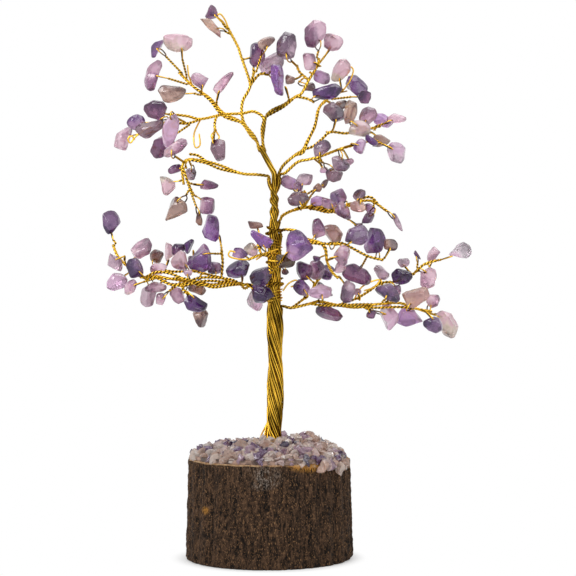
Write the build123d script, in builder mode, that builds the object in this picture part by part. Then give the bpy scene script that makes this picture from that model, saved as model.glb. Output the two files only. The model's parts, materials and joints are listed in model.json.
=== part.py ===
"""Gemstone tree ornament: amethyst chips on a tree of twisted brass wire, set in a log slice.

Millimetres, +Z up, the viewer on the -Y side.  The origin is the centre of the log's bottom face.
"""
import math
import os

from build123d import *

# Log base
LOG_DIAMETER = 60.0
LOG_TOP_DIAMETER = 58.0
LOG_HEIGHT = 36.0
LOG_OUT_OF_ROUND = 0.7
BARK_THICKNESS = 2.4
BARK_FOOT_ROUND = 2.0
BARK_GAP = 0.05
SOCKET_DEPTH = 18.0
SOCKET_FLOOR_GAP = 0.3
SOCKET_CLEARANCE = 0.25
LOG_OUTLINE_POINTS = 10
# Waves of the log's outline: lobes, share of the out-of-round, angle of the first lobe in radians
LOG_WAVES = ((2, 0.6, 0.4), (3, 0.4, 1.3))
BARK_RIBS = 26
BARK_FURROW_DEPTH = 0.9
BARK_FURROW_UNEVEN = 0.45
BARK_RIB_UNEVEN = 0.3

# Gravel mound
BED_RIM_HEIGHT = 1.4
BED_CROWN_HEIGHT = 4.4
BED_MARGIN = 1.2
GRAVEL_PITCH = 3.9
GRAVEL_SIZE = 3.8
GRAVEL_HEIGHT = 2.9
GRAVEL_SEAT_GAP = 0.05
GRAVEL_SIDES = 6
GRAVEL_LOWEST = 0.75
GRAVEL_SPREAD = 0.4
# Rings of a bit of gravel, from its seat up: share of its height, share of its width
GRAVEL_RINGS = ((0, 0.8), (0.45, 1.0), (1, 0.55))
GRAVEL_UNEVEN = 0.12
GRAVEL_RIM_SHARE = 1 / 3
GOLDEN_SHARE = 0.618
GRAVEL_TONES = ("white", "beige", "violet")
GRAVEL_ORDER = ("white", "beige", "white", "violet", "white", "beige", "white", "beige", "white", "violet")

# Wire
WIRE_DIAMETER = 0.4
TWIN_GAP = 0.06
BOUGH_DIAMETER = 1.3
SPRAY_DIAMETER = 0.9
BOUGH_BEND_RADIUS = 6.0
BEND_SHARE_OF_RUN = 0.45
STEM_BEND_RADIUS = 0.6
SEAT_GAP = 0.12

# Trunk
TRUNK_ACROSS = 2.6
TRUNK_TOP_ACROSS = 2.0
STRAND_DIAMETER = 1.3
STRAND_GAP = 0.12
STRAND_LAY = 50.0
STRAND_STEP = 5.0
FOOT_FLARE = 0.7
FOOT_FLARE_HEIGHT = 14.0
CORE_STRANDS = 3
OUTER_STRANDS = 8
FIRST_STRAND_ANGLE = -25.0
TRUNK_TOP = 138.2
FORK = (-3.1, 148.2, 0.0)
ROOT_BALL_DIAMETER = 1.5
ROOT_GAP = 0.3
ROOT_OUT = 0.4

# Bindings
BINDING_WIRE = 0.5
BINDING_PITCH = 1.05
BINDING_GAP = 0.15
BINDING_STEPS = 8
LOWER_BINDING = (92.0, 4)
UPPER_BINDING = (111.0, 3)

# Stones
STONE_PLUMPNESS = 0.62
STONE_THINNEST = 1.4
STONE_TURN = 16.0
FRONT_FACET = 0.58
BACK_FACET = 0.64
FACET_SHIFT = 0.1
HOLE_DIAMETER = 0.9
HOLE_INSET = 1.5
HOLE_DEEPEST_SHARE = 0.6
FACE_GAP = 0.15
FORK_LENGTH = 1.9
LOOP_LEAD = 0.35
SHORTEST_STEM = 1.3
STEM_LEAN = 0.45
STEM_SPACING = 1.5
STEM_STEP = 0.5
LONGEST_STEM = 26.0
FORKS_TRIED = 6
FREE_STEP = 0.8
FREE_TRIES = 20
CLEAR_SAME_BOUGH = 0.2
CLEAR_OTHER_BOUGH = 0.5

# Heights in the tables below are read on a front elevation on which the log's top is at this height
ELEVATION_LOG_TOP = 36.0

# Stone outlines, in halves of the stone's length and width, with the narrow end at +1
CUTS = {
    "block": [(1, 0.3), (0.7, 0.9), (-0.6, 1), (-0.97, 0.5), (-0.9, -0.65), (-0.35, -1), (0.45, -0.95),
              (0.93, -0.5)],
    "round": [(1, 0.15), (0.75, 0.75), (0.1, 1), (-0.65, 0.82), (-1, 0.1), (-0.8, -0.65), (-0.1, -1),
              (0.72, -0.72)],
    "wedge": [(1, 0.22), (0.35, 0.72), (-0.6, 1), (-1, 0.6), (-0.95, -0.6), (-0.6, -1), (0.3, -0.66),
              (0.92, -0.25)],
    "drop": [(1, 0.2), (0.45, 0.74), (-0.35, 1), (-0.9, 0.6), (-1, -0.25), (-0.6, -0.9), (0.1, -0.88),
             (0.85, -0.32)],
    "kite": [(1, 0.2), (0.25, 0.95), (-0.35, 0.88), (-0.95, 0.2), (-1, -0.15), (-0.25, -1), (0.4, -0.78),
             (0.9, -0.2)],
    "spike": [(1, 0.12), (0.3, 0.75), (-0.85, 1), (-1, 0.2), (-0.85, -0.8), (-0.2, -0.9), (0.9, -0.22)],
}

# Each bough: how far it swings round its root in degrees (plus brings its left side forward), its routes
# as points (across, up, front), the first of them from the bough's root and the others from a point of an
# earlier route, and its stones as (across, up, length, width, tilt, cut, front of the wire)
BOUGHS = {
    "crown_left": {
        "swing": (0, 8),
        "routes": [
            [(-6.4, 152, -1), (-9.9, 156.8, -1.2), (-16.5, 160.3, -1.5), (-21.3, 165.7, -3),
             (-27.2, 170, -5), (-32.7, 175.4, -6)],
            [(-16.5, 160.3, -1.5), (-18.6, 158.6, 1.5), (-19.3, 155.6, 3), (-18.9, 153, 3.5)],
        ],
        "stones": [
            (-40.2, 184.7, 8.5, 5.5, 50, "drop", 0), (-32.6, 185.6, 10.5, 7.8, 4, "block", 1),
            (-41.6, 174, 13, 7, 71, "kite", 1), (-24.3, 171.9, 8, 5.5, -35, "block", 2),
            (-16.1, 170.2, 11, 4.8, 35, "block", 1), (-34.3, 167.3, 11, 6, 10, "block", 2),
            (-18, 146, 8, 8, 0, "round", 0),
        ],
    },
    "left_upper": {
        "swing": (-8, 0),
        "routes": [
            [(-2.4, 154.5, -2), (-1.9, 158.6, -3.4), (-5.5, 161.1, -5.5), (-9.7, 160.6, -7.5),
             (-16.5, 160.4, -8.8), (-24.8, 158.6, -7.5), (-29.6, 159.5, -6), (-36, 160.1, -5)],
            [(-24.8, 158.6, -7.5), (-30, 156.6, -4), (-36, 157.4, -2)],
        ],
        "stones": [
            (-41.6, 161.4, 10.2, 8, 10, "round", -1), (-48, 157, 7, 5.6, 0, "round", -1),
            (-42, 155.4, 12.5, 6.6, 30, "block", 2), (-52.2, 152, 10.5, 6.4, 50, "drop", 0),
            (-34.8, 152.8, 12.6, 6.4, 64, "block", 4), (-39, 148, 11, 8, 225, "drop", 0),
        ],
    },
    "leader": {
        "swing": (-6, 6),
        "routes": [
            [(-5.2, 151.6, 2.6), (-8.6, 155.8, 3), (-9.6, 160, 3), (-9.2, 164.1, 2.5), (-7.5, 167.3, 2),
             (-6.6, 169.7, 1.5), (-7.3, 173, 1.2), (-9.9, 180.4, 0.5), (-11.1, 184, 0), (-14.8, 191, 0)],
            [(-6.6, 169.7, 1.5), (-3.6, 173.6, 1), (-1.2, 174.2, 1)],
            [(-6.6, 169.7, 1.5), (-5.4, 173.6, 3), (-5.4, 176, 3.5)],
        ],
        "stones": [
            (-20, 196.3, 6.5, 5.2, 80, "wedge", 1), (-19.6, 190, 13, 3.5, -46, "spike", 2),
            (-4.2, 181.3, 9, 5.6, 90, "block", 1), (-0.5, 185, 7, 4.4, 25, "wedge", -2),
            (0.4, 178.8, 9.4, 8.8, 30, "block", 0),
        ],
    },
    "crown_right": {
        "swing": (-6, 6),
        "routes": [
            [(-1.6, 154.5, 1.4), (-0.9, 158.6, 1.5), (1.4, 161, 1), (5.5, 163, 0.5), (9.7, 165.9, 0),
             (11.9, 167.1, 0), (14.5, 172, -1), (17.5, 177, -1.5), (18.2, 180, -1.5)],
            [(14.5, 172, -1), (11.2, 175, -2), (10.2, 177.6, -2.5)],
            [(9.7, 165.9, 0), (13.6, 165, 2), (16.4, 163.6, 3)],
        ],
        "stones": [
            (6.6, 183, 10, 8, 90, "round", 0), (3.6, 171.3, 10.8, 8.6, -80, "drop", 2),
            (8, 173, 4.5, 4, 0, "block", -1), (17.3, 189, 12, 7.5, 225, "block", 1),
            (23, 186.8, 7.6, 6.6, -30, "block", 0), (14.9, 178.3, 7.2, 4.6, 100, "block", 2),
            (19.2, 173.5, 6.6, 4.8, -20, "block", 1), (14.4, 169.8, 5, 4, 20, "block", -2),
            (20.8, 166.9, 12.8, 5, 3, "block", 3),
        ],
    },
    "right_upper": {
        "swing": (0, 10),
        "routes": [
            [(5.4, 141.5, -3), (9.6, 145.2, -4), (12.4, 147.2, -5), (14, 150.4, -6), (16.8, 155.8, -7),
             (18.2, 162.4, -8), (22.5, 167.2, -9), (27, 169, -9)],
            [(12.4, 147.2, -5), (16, 148.3, -4), (19.2, 150.8, -3), (22.4, 153.4, -3), (28.4, 153, -3),
             (36.4, 154.6, -3), (40.5, 155.6, -3)],
        ],
        "stones": [
            (26.2, 175.6, 9, 6, 55, "block", 0), (32, 170.5, 10.4, 7.6, -35, "block", 0),
            (35.3, 167, 8, 5.5, 60, "drop", -1), (23.4, 160, 8.5, 7.5, 10, "round", 1),
            (29.6, 160.4, 9.4, 6.6, -100, "drop", 0), (26.8, 164.5, 6, 3.5, 20, "block", 0),
            (35.6, 158.4, 7, 7, 0, "round", 1), (41.6, 157.6, 7.4, 6, -10, "round", -1),
            (46.4, 158, 8.4, 3.6, -8, "spike", -2), (32.8, 153, 9, 7, -10, "round", 2),
            (40.8, 151.6, 8, 5.5, 15, "block", 1), (46, 145.6, 8, 7.5, -80, "drop", 0),
        ],
    },
    "right_middle": {
        "swing": (-10, 0),
        "routes": [
            [(6, 138.2, 3.4), (10.4, 142, 4.2), (14.4, 142.9, 5), (19.2, 144.2, 5.6), (25.6, 146.6, 6),
             (30, 147.8, 6.2)],
        ],
        "stones": [
            (36.4, 148.6, 6.5, 3.5, -25, "spike", -2), (32.4, 146.6, 6, 5.5, 0, "round", 1),
            (18.8, 146.4, 7, 5, 20, "block", 1), (25.8, 141.6, 6.5, 6, 0, "block", 1),
            (28.6, 142.4, 6.5, 5, 30, "drop", -1), (23.4, 137.8, 6.5, 6, 0, "round", 1),
            (19.6, 139.6, 3.6, 2.6, 0, "block", -1),
        ],
    },
    "left_mid": {
        "swing": (-5, 8),
        "routes": [
            [(-4, 137.9, -1), (-10, 138.3, 0), (-17.3, 141, 2), (-22.3, 142.3, 3.5), (-28.6, 143, 4),
             (-30.8, 140.4, 4.5), (-30.3, 134, 4.5)],
            [(-22.3, 142.3, 3.5), (-25.4, 144.6, 1), (-28.5, 145.2, 0)],
            [(-30.8, 140.4, 4.5), (-28.2, 133.4, 6), (-26.6, 130, 6.4)],
        ],
        "stones": [
            (-33.3, 146, 11, 4.5, 25, "block", 1), (-33.4, 139.6, 5.4, 3.4, 10, "block", -1),
            (-27.8, 138, 5.6, 4.4, -20, "round", -2), (-37.3, 134.7, 8, 6, 130, "wedge", 0),
            (-33.7, 124.7, 10, 9.2, 60, "block", 0), (-21.7, 133.7, 7.5, 4, 0, "drop", 0),
            (-21.8, 126.7, 7, 5.5, 90, "block", 0), (-24.6, 121.7, 6.5, 3, 90, "spike", -1),
        ],
    },
    "right_arching": {
        "swing": (0, 10),
        "routes": [
            [(5, 123.2, -3), (8, 124.9, -5), (12, 126, -6), (16.5, 126.8, -7), (22.4, 126.2, -7.4),
             (28.8, 127.4, -7.6), (34, 128.7, -7.4), (37.4, 128.7, -7), (40, 127.2, -7), (43, 124.9, -7)],
            [(12, 126, -6), (13.6, 129.6, -7.5), (12.9, 132.6, -8)],
        ],
        "stones": [
            (13.2, 136.2, 6, 5.2, 60, "block", 0), (7.6, 135.2, 7, 4.6, -25, "block", 0),
            (10.6, 133.2, 4.5, 3.5, -60, "drop", 2), (20.4, 135.2, 4.5, 2.5, 50, "spike", 0),
            (17.8, 132.8, 3.6, 2.8, 40, "block", 1), (10.4, 128.8, 9, 5, -5, "block", 3),
            (17.6, 128.6, 6, 4, 5, "block", 2), (22, 128, 5.6, 4.4, 0, "block", 2),
            (25.8, 130.2, 8, 6, 30, "block", 2), (27, 124.8, 7, 5, -30, "block", 1),
            (33, 130.4, 5.4, 5, 0, "round", 1), (32, 126, 6, 4.4, 0, "block", 1),
            (36.8, 126, 5, 3.8, -20, "drop", 0), (35.6, 121.6, 6.4, 4.8, 240, "wedge", 0),
            (32.4, 119.6, 5, 2.5, 5, "block", -1), (46.8, 120.6, 8, 2.5, -60, "spike", 0),
        ],
    },
    "front": {
        "swing": (-6, 6),
        "routes": [
            [(4, 108.8, 5), (1.4, 109.6, 8.5), (-2.4, 108.8, 11.5), (-7, 107, 12.5)],
            [(1.4, 109.6, 8.5), (0.4, 105.6, 11), (1, 102, 12)],
            [(-2.4, 108.8, 11.5), (-3.6, 112.4, 9.5), (-2.4, 115.6, 7.5)],
        ],
        "stones": [
            (-10.2, 109.3, 6.4, 4.2, 10, "block", 0), (-3.2, 114.2, 10.4, 6.4, -25, "block", 3),
            (-6, 110.4, 6, 5, -50, "wedge", 4), (-3.9, 119.4, 8, 3, 0, "spike", -2),
            (-2, 102.2, 10.4, 6.6, 60, "block", 1), (5.6, 106.6, 8.5, 5, 0, "block", 2),
            (10.4, 111.8, 11.6, 10.4, 108, "wedge", 2), (6, 103, 2.8, 2.4, 0, "block", -1),
        ],
    },
    "right_lower": {
        "swing": (-10, 0),
        "routes": [
            [(6.4, 117.9, 3.4), (10.3, 117.2, 6), (13.2, 114.6, 9), (18.3, 113, 11), (20.2, 110.4, 12),
             (20.7, 106.6, 12.6), (22.3, 103, 13), (24.7, 100.4, 13)],
            [(18.3, 113, 11), (22, 112.6, 9), (26, 113, 7.5), (30, 111.2, 6), (35.5, 108.4, 4.4),
             (41, 107, 3.4)],
        ],
        "stones": [
            (17.8, 118, 9, 5, 100, "drop", 0), (22, 116.4, 9.4, 8, -50, "block", 0),
            (25.8, 108.2, 7.5, 7, 20, "drop", 2), (25.4, 104.2, 5, 5, 0, "round", -2),
            (28, 96, 8.5, 5.5, 90, "block", 0), (32.8, 101.4, 13, 7.2, -20, "wedge", 0),
            (17.4, 107.6, 4, 2.5, 0, "block", 0), (31, 115.4, 9, 7, 10, "block", 1),
            (39, 113.4, 10.2, 8, 70, "block", 0), (43.4, 112.2, 5.5, 4.5, 0, "block", -1),
        ],
    },
    "right_low": {
        "swing": (0, 8),
        "routes": [
            [(8.4, 89.9, 1), (15, 91.4, 0), (18.4, 92.1, -1), (25, 90.8, -1), (31.6, 90, 1),
             (38.6, 91.1, 2), (47, 91.6, 2.4), (53, 89.6, 2.6), (58.6, 88.6, 2.4)],
            [(25, 90.8, -1), (31.7, 93.2, -4), (36, 95.6, -6), (41, 98.8, -7), (47, 99.4, -8),
             (52.1, 101.6, -8.4), (56.7, 105.6, -8.6), (62, 107.2, -8.6)],
            [(8.4, 89.9, 1), (12, 92.6, -1), (15.6, 95.8, -3), (16.8, 99, -4)],
        ],
        "stones": [
            (12.8, 103.2, 8.2, 6, 90, "block", 1), (12, 97.2, 6.6, 6, 0, "block", 1),
            (17.6, 103.8, 7.6, 6, 90, "block", 0), (21.4, 102.4, 7, 6, 0, "round", 0),
            (21, 97.2, 8.2, 7.4, 0, "round", 0), (18.6, 95.4, 9, 5.4, -12, "block", 4),
            (22, 87.4, 11, 6, -12, "block", 2), (41.2, 102.4, 6.4, 5.4, 0, "block", 1),
            (48.2, 101.4, 8, 6.5, 10, "block", 3), (49.4, 106.2, 5, 3.5, 10, "block", -2),
            (54, 109, 4.5, 2, -45, "spike", 0), (57.4, 101.8, 10, 7.4, 70, "drop", 2),
            (60.4, 109, 6, 4.4, 50, "block", 0), (69.1, 109.9, 10.2, 6.8, 200, "drop", 0),
            (42.8, 95.2, 10.4, 6, -38, "wedge", 2), (46.4, 96.4, 4.5, 2.6, 90, "block", -2),
            (52.5, 94, 9.4, 8.8, 20, "block", 0), (58.9, 92.4, 6.2, 5.6, 0, "round", 0),
            (36.8, 87.6, 4, 3, 0, "block", 1), (43.2, 86.6, 10.6, 8, 100, "drop", 1),
            (50.9, 86, 9.8, 7.6, -25, "block", 1), (59.1, 84, 7.6, 6.6, -50, "drop", 1),
            (66, 84, 11, 7, -65, "block", 0), (32, 95.6, 3.4, 2.4, 0, "block", 1),
        ],
    },
    "left_low": {
        "swing": (-5, 8),
        "routes": [
            [(-4, 98, -1), (-10, 98.4, 1), (-13.5, 98.9, 2.5), (-20, 98.2, 5), (-25, 99, 6.4),
             (-30, 99.6, 7), (-35, 100.3, 7), (-40, 101.2, 6.2), (-45, 100.8, 5), (-50, 104.3, 3),
             (-54, 108.2, 1.4), (-56, 112.6, 0.6)],
            [(-13.5, 98.9, 2.5), (-17, 100.6, 0), (-21, 101.6, -2), (-26.7, 103, -4), (-35.3, 103, -5),
             (-41, 104.4, -5)],
            [(-17, 100.6, 0), (-16.5, 106, 0.8), (-16.9, 111, 1.4)],
            [(-10, 98.4, 1), (-8.4, 96.8, 5), (-6.2, 98.2, 8)],
            [(-30, 99.6, 7), (-30.6, 97.2, 9), (-28.4, 94.6, 10)],
        ],
        "stones": [
            (-19.9, 118.8, 9.8, 7.6, 70, "block", 1), (-56.5, 120.4, 8.5, 6, 95, "block", 0),
            (-54.8, 106.4, 9.8, 6, 95, "drop", 2), (-54, 99.4, 8, 6.6, 0, "block", 0),
            (-45.4, 111.2, 8.4, 7.8, -60, "block", 0), (-47.4, 104.2, 7.2, 5.8, 110, "block", 3),
            (-40.4, 108.4, 5, 4.6, 0, "block", 0), (-39.6, 104.2, 7, 4.8, 0, "block", 3),
            (-36.6, 110, 8, 4.5, 90, "block", 1), (-32.6, 110.6, 5, 4.6, 0, "block", -2),
            (-28.4, 112, 6, 5.2, 35, "block", -1), (-31.2, 106.8, 7.2, 6.2, 60, "block", 1),
            (-23.8, 108.8, 11.8, 9, 75, "wedge", 1), (-27.6, 106.6, 6, 4, 0, "block", -2),
            (-10.5, 103.9, 11, 6.5, 12, "block", 2), (-19.6, 104.2, 6.6, 4.2, 0, "block", -2),
            (-48.2, 97, 6.8, 5.4, 30, "round", 1), (-40.2, 97.6, 8, 4.5, 0, "block", 1),
            (-43.2, 94.8, 9.2, 8.2, 80, "round", -1), (-38.3, 92.8, 5, 3.6, 90, "block", 0),
            (-31.8, 94, 8.8, 6, -60, "drop", -1), (-24.7, 91.4, 10.4, 6, -15, "drop", 2),
            (-23.8, 86, 7, 6.6, -90, "wedge", 0), (-26.4, 96.2, 7.6, 4.8, -10, "block", 1),
            (-28.6, 102.4, 4, 2.5, 0, "block", 1), (-5, 92, 9, 6.5, -80, "drop", 2),
            (-2.2, 95, 10, 6.2, -10, "block", 8),
        ],
    },
}

# Roots of the boughs that leave the top of the core strands, from the fork: across, up, front
CROWN_ROOTS = {
    "crown_left": (-1.0, 1.4, -1.0),
    "leader": (-1.0, 1.4, 1.0),
    "left_upper": (1.0, 1.6, -1.0),
    "crown_right": (1.0, 1.6, 1.0),
}

# Outer strands in their order round the trunk, with the height at which each one turns out
OUTER_STRAND_EXITS = {
    "right_middle": 136.4,
    "right_low": 89.5,
    "right_upper": 137.0,
    "front": 108.0,
    "left_mid": 136.8,
    "right_lower": 116.5,
    "left_low": 97.5,
    "right_arching": 121.0,
}

HOLE_RADIUS = HOLE_DIAMETER / 2
WIRE_RADIUS = WIRE_DIAMETER / 2
CORE_RING = (STRAND_DIAMETER + STRAND_GAP) / math.sqrt(3)
OUTER_RING = CORE_RING + STRAND_DIAMETER + STRAND_GAP
TRUNK_RADIUS = OUTER_RING + STRAND_DIAMETER / 2
SOCKET_RADIUS = TRUNK_RADIUS + FOOT_FLARE + SOCKET_CLEARANCE


def place(across, up, front):
    """Point of the front elevation, at its depth in front of the trunk."""
    return (across, -front, LOG_HEIGHT + up - ELEVATION_LOG_TOP)


def mix(a, b, t):
    """Point a share t of the way from a to b."""
    return tuple(p + (q - p) * t for p, q in zip(a, b))


def shift(a, direction, length):
    """Point a moved by a length along a direction."""
    return tuple(p + d * length for p, d in zip(a, direction))


def dot(a, b):
    """Inner product."""
    return sum(p * q for p, q in zip(a, b))


def unit(a, b):
    """Unit vector from a to b."""
    length = math.dist(a, b)
    return tuple((q - p) / length for p, q in zip(a, b))


def across_to(direction, axis):
    """Unit vector of a direction's share square to an axis."""
    share = dot(direction, axis)
    flat = tuple(d - share * x for d, x in zip(direction, axis))
    return unit((0, 0, 0), flat)


def bend_radii(points, largest):
    """Fillet radius at each inner point: the largest that its two runs allow."""
    radii = []
    for before, here, after in zip(points, points[1:], points[2:]):
        run = min(math.dist(before, here), math.dist(here, after))
        turn = Vector(unit(before, here)).get_angle(Vector(unit(here, after)))
        radii.append(min(largest, BEND_SHARE_OF_RUN * run / math.tan(math.radians(turn / 2))))
    return radii


def tube(points, diameter, largest_bend, ball_root=False):
    """Round wire through the points, with arcs at its bends and, if asked, a ball on its first end."""
    with BuildPart() as wire:
        with BuildLine() as path:
            if len(points) > 2:
                FilletPolyline(*points, radius=bend_radii(points, largest_bend))
            else:
                Line(*points)
        with BuildSketch(Plane(origin=points[0], z_dir=unit(points[0], points[1]))):
            Circle(diameter / 2)
        sweep(path=path.wire())
        if ball_root:
            with Locations(points[0]):
                Sphere(ROOT_BALL_DIAMETER / 2)
    return wire.part


# Bars are straight stretches with a radius: they stand for wires and stones while places are worked out


def bar_gap(a, b):
    """Least distance between the surfaces of two bars (start, end, radius)."""
    (p, q, pr), (r, s, rr) = a, b
    d1 = (q[0] - p[0], q[1] - p[1], q[2] - p[2])
    d2 = (s[0] - r[0], s[1] - r[1], s[2] - r[2])
    w = (p[0] - r[0], p[1] - r[1], p[2] - r[2])
    aa = d1[0] * d1[0] + d1[1] * d1[1] + d1[2] * d1[2] + 1e-12
    ee = d2[0] * d2[0] + d2[1] * d2[1] + d2[2] * d2[2] + 1e-12
    bb = d1[0] * d2[0] + d1[1] * d2[1] + d1[2] * d2[2]
    cc = d1[0] * w[0] + d1[1] * w[1] + d1[2] * w[2]
    ff = d2[0] * w[0] + d2[1] * w[1] + d2[2] * w[2]
    det = aa * ee - bb * bb
    t = min(1.0, max(0.0, (bb * ff - cc * ee) / det)) if det > 1e-9 else 0.0
    u = (bb * t + ff) / ee
    if u < 0:
        u = 0.0
        t = min(1.0, max(0.0, -cc / aa))
    elif u > 1:
        u = 1.0
        t = min(1.0, max(0.0, (bb - cc) / aa))
    gap = (w[0] + d1[0] * t - d2[0] * u, w[1] + d1[1] * t - d2[1] * u, w[2] + d1[2] * t - d2[2] * u)
    return math.sqrt(gap[0] ** 2 + gap[1] ** 2 + gap[2] ** 2) - pr - rr


def swung(bar, pivot, angle):
    """A bar turned about the upright line through a pivot."""
    cosine = math.cos(math.radians(angle))
    sine = math.sin(math.radians(angle))
    ends = []
    for x, y, z in bar[:2]:
        dx = x - pivot[0]
        dy = y - pivot[1]
        ends.append((pivot[0] + dx * cosine - dy * sine, pivot[1] + dx * sine + dy * cosine, z))
    return (ends[0], ends[1], bar[2])


class Bar:
    """A bar with every place that its bough's swing takes it to."""

    def __init__(self, bough, start, end, radius, is_route=False):
        low, high = BOUGHS[bough]["swing"] if bough in BOUGHS else (0, 0)
        self.bough = bough
        self.is_route = is_route
        self.rest = (start, end, radius)
        self.places = [self.rest]
        if bough in BOUGHS:
            angles = (low, low / 2, 0, high / 2, high)
            self.places = [swung(self.rest, ROOTS[bough], angle) for angle in sorted(set(angles))]
        self.middles = [mix(bar[0], bar[1], 0.5) for bar in self.places]
        self.reach = math.dist(start, end) / 2 + radius
        self.travel = max(math.dist(self.middles[0], middle) for middle in self.middles)

    def gap(self, other, enough):
        """Least gap to another bar over both swings, or any value over enough."""
        near = self.reach + other.reach + enough
        if math.dist(self.middles[0], other.middles[0]) > near + self.travel + other.travel:
            return enough + 1
        if self.bough == other.bough:
            return bar_gap(self.rest, other.rest)
        least = enough + 1
        for mine, my_middle in zip(self.places, self.middles):
            for theirs, their_middle in zip(other.places, other.middles):
                if math.dist(my_middle, their_middle) < near:
                    least = min(least, bar_gap(mine, theirs))
        return least


# Trunk


def trunk_axis(height):
    """Centre of the trunk at a height above the log's bottom: it leans a little, then runs to the fork."""
    foot = place(TRUNK_ACROSS, ELEVATION_LOG_TOP, 0)
    top = place(TRUNK_TOP_ACROSS, TRUNK_TOP, 0)
    if height <= top[2]:
        return mix(foot, top, (height - foot[2]) / (top[2] - foot[2]))
    return mix(top, place(*FORK), (height - top[2]) / (place(*FORK)[2] - top[2]))


def strand_points(angle, ring, flare, bottom, top):
    """Points of one strand that winds round the trunk's axis like a left-hand screw."""
    steps = math.ceil((top - bottom) / STRAND_STEP)
    points = []
    for index in range(steps + 1):
        height = bottom + (top - bottom) * index / steps
        turn = math.radians(angle - 360 * (height - LOG_HEIGHT) / STRAND_LAY)
        rise = max(0.0, 1 - max(0.0, height - LOG_HEIGHT) / FOOT_FLARE_HEIGHT)
        radius = ring + flare * rise * rise
        upward = unit(trunk_axis(height - STRAND_STEP), trunk_axis(height + STRAND_STEP))
        sideways = across_to((1, 0, 0), upward)
        centre = trunk_axis(height)
        point = shift(centre, sideways, radius * math.cos(turn))
        points.append(shift(point, (0, 1, 0), radius * math.sin(turn)))
    return points


SOCKET_FLOOR = LOG_HEIGHT - SOCKET_DEPTH + SOCKET_FLOOR_GAP
CORE_TOP = place(*FORK)[2]
CORE_PATHS = []
for core in range(CORE_STRANDS):
    CORE_PATHS.append(strand_points(360 * core / CORE_STRANDS, CORE_RING, 0, SOCKET_FLOOR, CORE_TOP))

OUTER_PATHS = {}
ROOTS = {}
for slot, (bough_name, exit_up) in enumerate(OUTER_STRAND_EXITS.items()):
    slot_angle = FIRST_STRAND_ANGLE + 360 * slot / OUTER_STRANDS
    exit_height = place(0, exit_up, 0)[2]
    strand = strand_points(slot_angle, OUTER_RING, FOOT_FLARE, SOCKET_FLOOR, exit_height)
    OUTER_PATHS[bough_name] = strand
    beyond = shift(strand[-1], unit(strand[-2], strand[-1]), ROOT_BALL_DIAMETER / 2 + ROOT_GAP)
    ROOTS[bough_name] = shift(beyond, unit(trunk_axis(exit_height), strand[-1]), ROOT_OUT)
for bough_name, (across, up, front) in CROWN_ROOTS.items():
    ROOTS[bough_name] = place(FORK[0] + across, FORK[1] + up, FORK[2] + front)


def binding_points(start_up, turns):
    """Points of a wire wound round the trunk, from a height upwards."""
    ring = TRUNK_RADIUS + BINDING_GAP + BINDING_WIRE / 2
    points = []
    for index in range(turns * BINDING_STEPS + 1):
        turn = 2 * math.pi * index / BINDING_STEPS
        height = place(0, start_up, 0)[2] + BINDING_PITCH * index / BINDING_STEPS
        x, y, z = trunk_axis(height)
        radius = ring / math.cos(math.pi / BINDING_STEPS)
        points.append((x + radius * math.cos(turn), y + radius * math.sin(turn), z))
    return points


def gap_to_itself(points, diameter):
    """Least gap between neighbouring turns of a wound wire, measured on its points."""
    turn_apart = [(a, b) for i, a in enumerate(points) for b in points[i + BINDING_STEPS - 1:]]
    return min(math.dist(a, b) for a, b in turn_apart) - diameter


BINDINGS = {"lower_binding": binding_points(*LOWER_BINDING), "upper_binding": binding_points(*UPPER_BINDING)}


# Routes of the boughs


def spray_route(points, runs, parent_diameter):
    """Route of a side spray, cut back so that it starts at the surface of the wire it leaves."""
    ahead = unit(points[0], points[1])
    cosine = max(dot(ahead, run) for run in runs)
    sine = math.sqrt(1 - cosine * cosine)
    reach = parent_diameter / 2 + SEAT_GAP + SPRAY_DIAMETER / 2 * max(cosine, 0)
    back = reach / sine if cosine > 0 else reach
    return [shift(points[0], ahead, back)] + points[1:]


def bough_routes(bough):
    """Routes of a bough's wires as (points, diameter)."""
    routes = []
    runs_from = {}
    for table in BOUGHS[bough]["routes"]:
        points = [place(*row) for row in table]
        if routes:
            runs, parent_diameter = runs_from[points[0]]
            route = spray_route(points, runs, parent_diameter)
            diameter = SPRAY_DIAMETER
        else:
            route = [ROOTS[bough]] + points
            diameter = BOUGH_DIAMETER
        routes.append((route, diameter))
        for before, here, after in zip(route, route[1:], route[2:]):
            runs_from[here] = ((unit(here, before), unit(here, after)), diameter)
    return routes


ROUTES = {bough: bough_routes(bough) for bough in BOUGHS}

BARS = []
for path in CORE_PATHS + list(OUTER_PATHS.values()):
    BARS += [Bar("trunk", a, b, STRAND_DIAMETER / 2) for a, b in zip(path, path[1:])]
for path in BINDINGS.values():
    BARS += [Bar("trunk", a, b, BINDING_WIRE / 2) for a, b in zip(path, path[1:])]
for bough in BOUGHS:
    for points, diameter in ROUTES[bough]:
        BARS += [Bar(bough, a, b, diameter / 2, is_route=True) for a, b in zip(points, points[1:])]


# Stones


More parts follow.
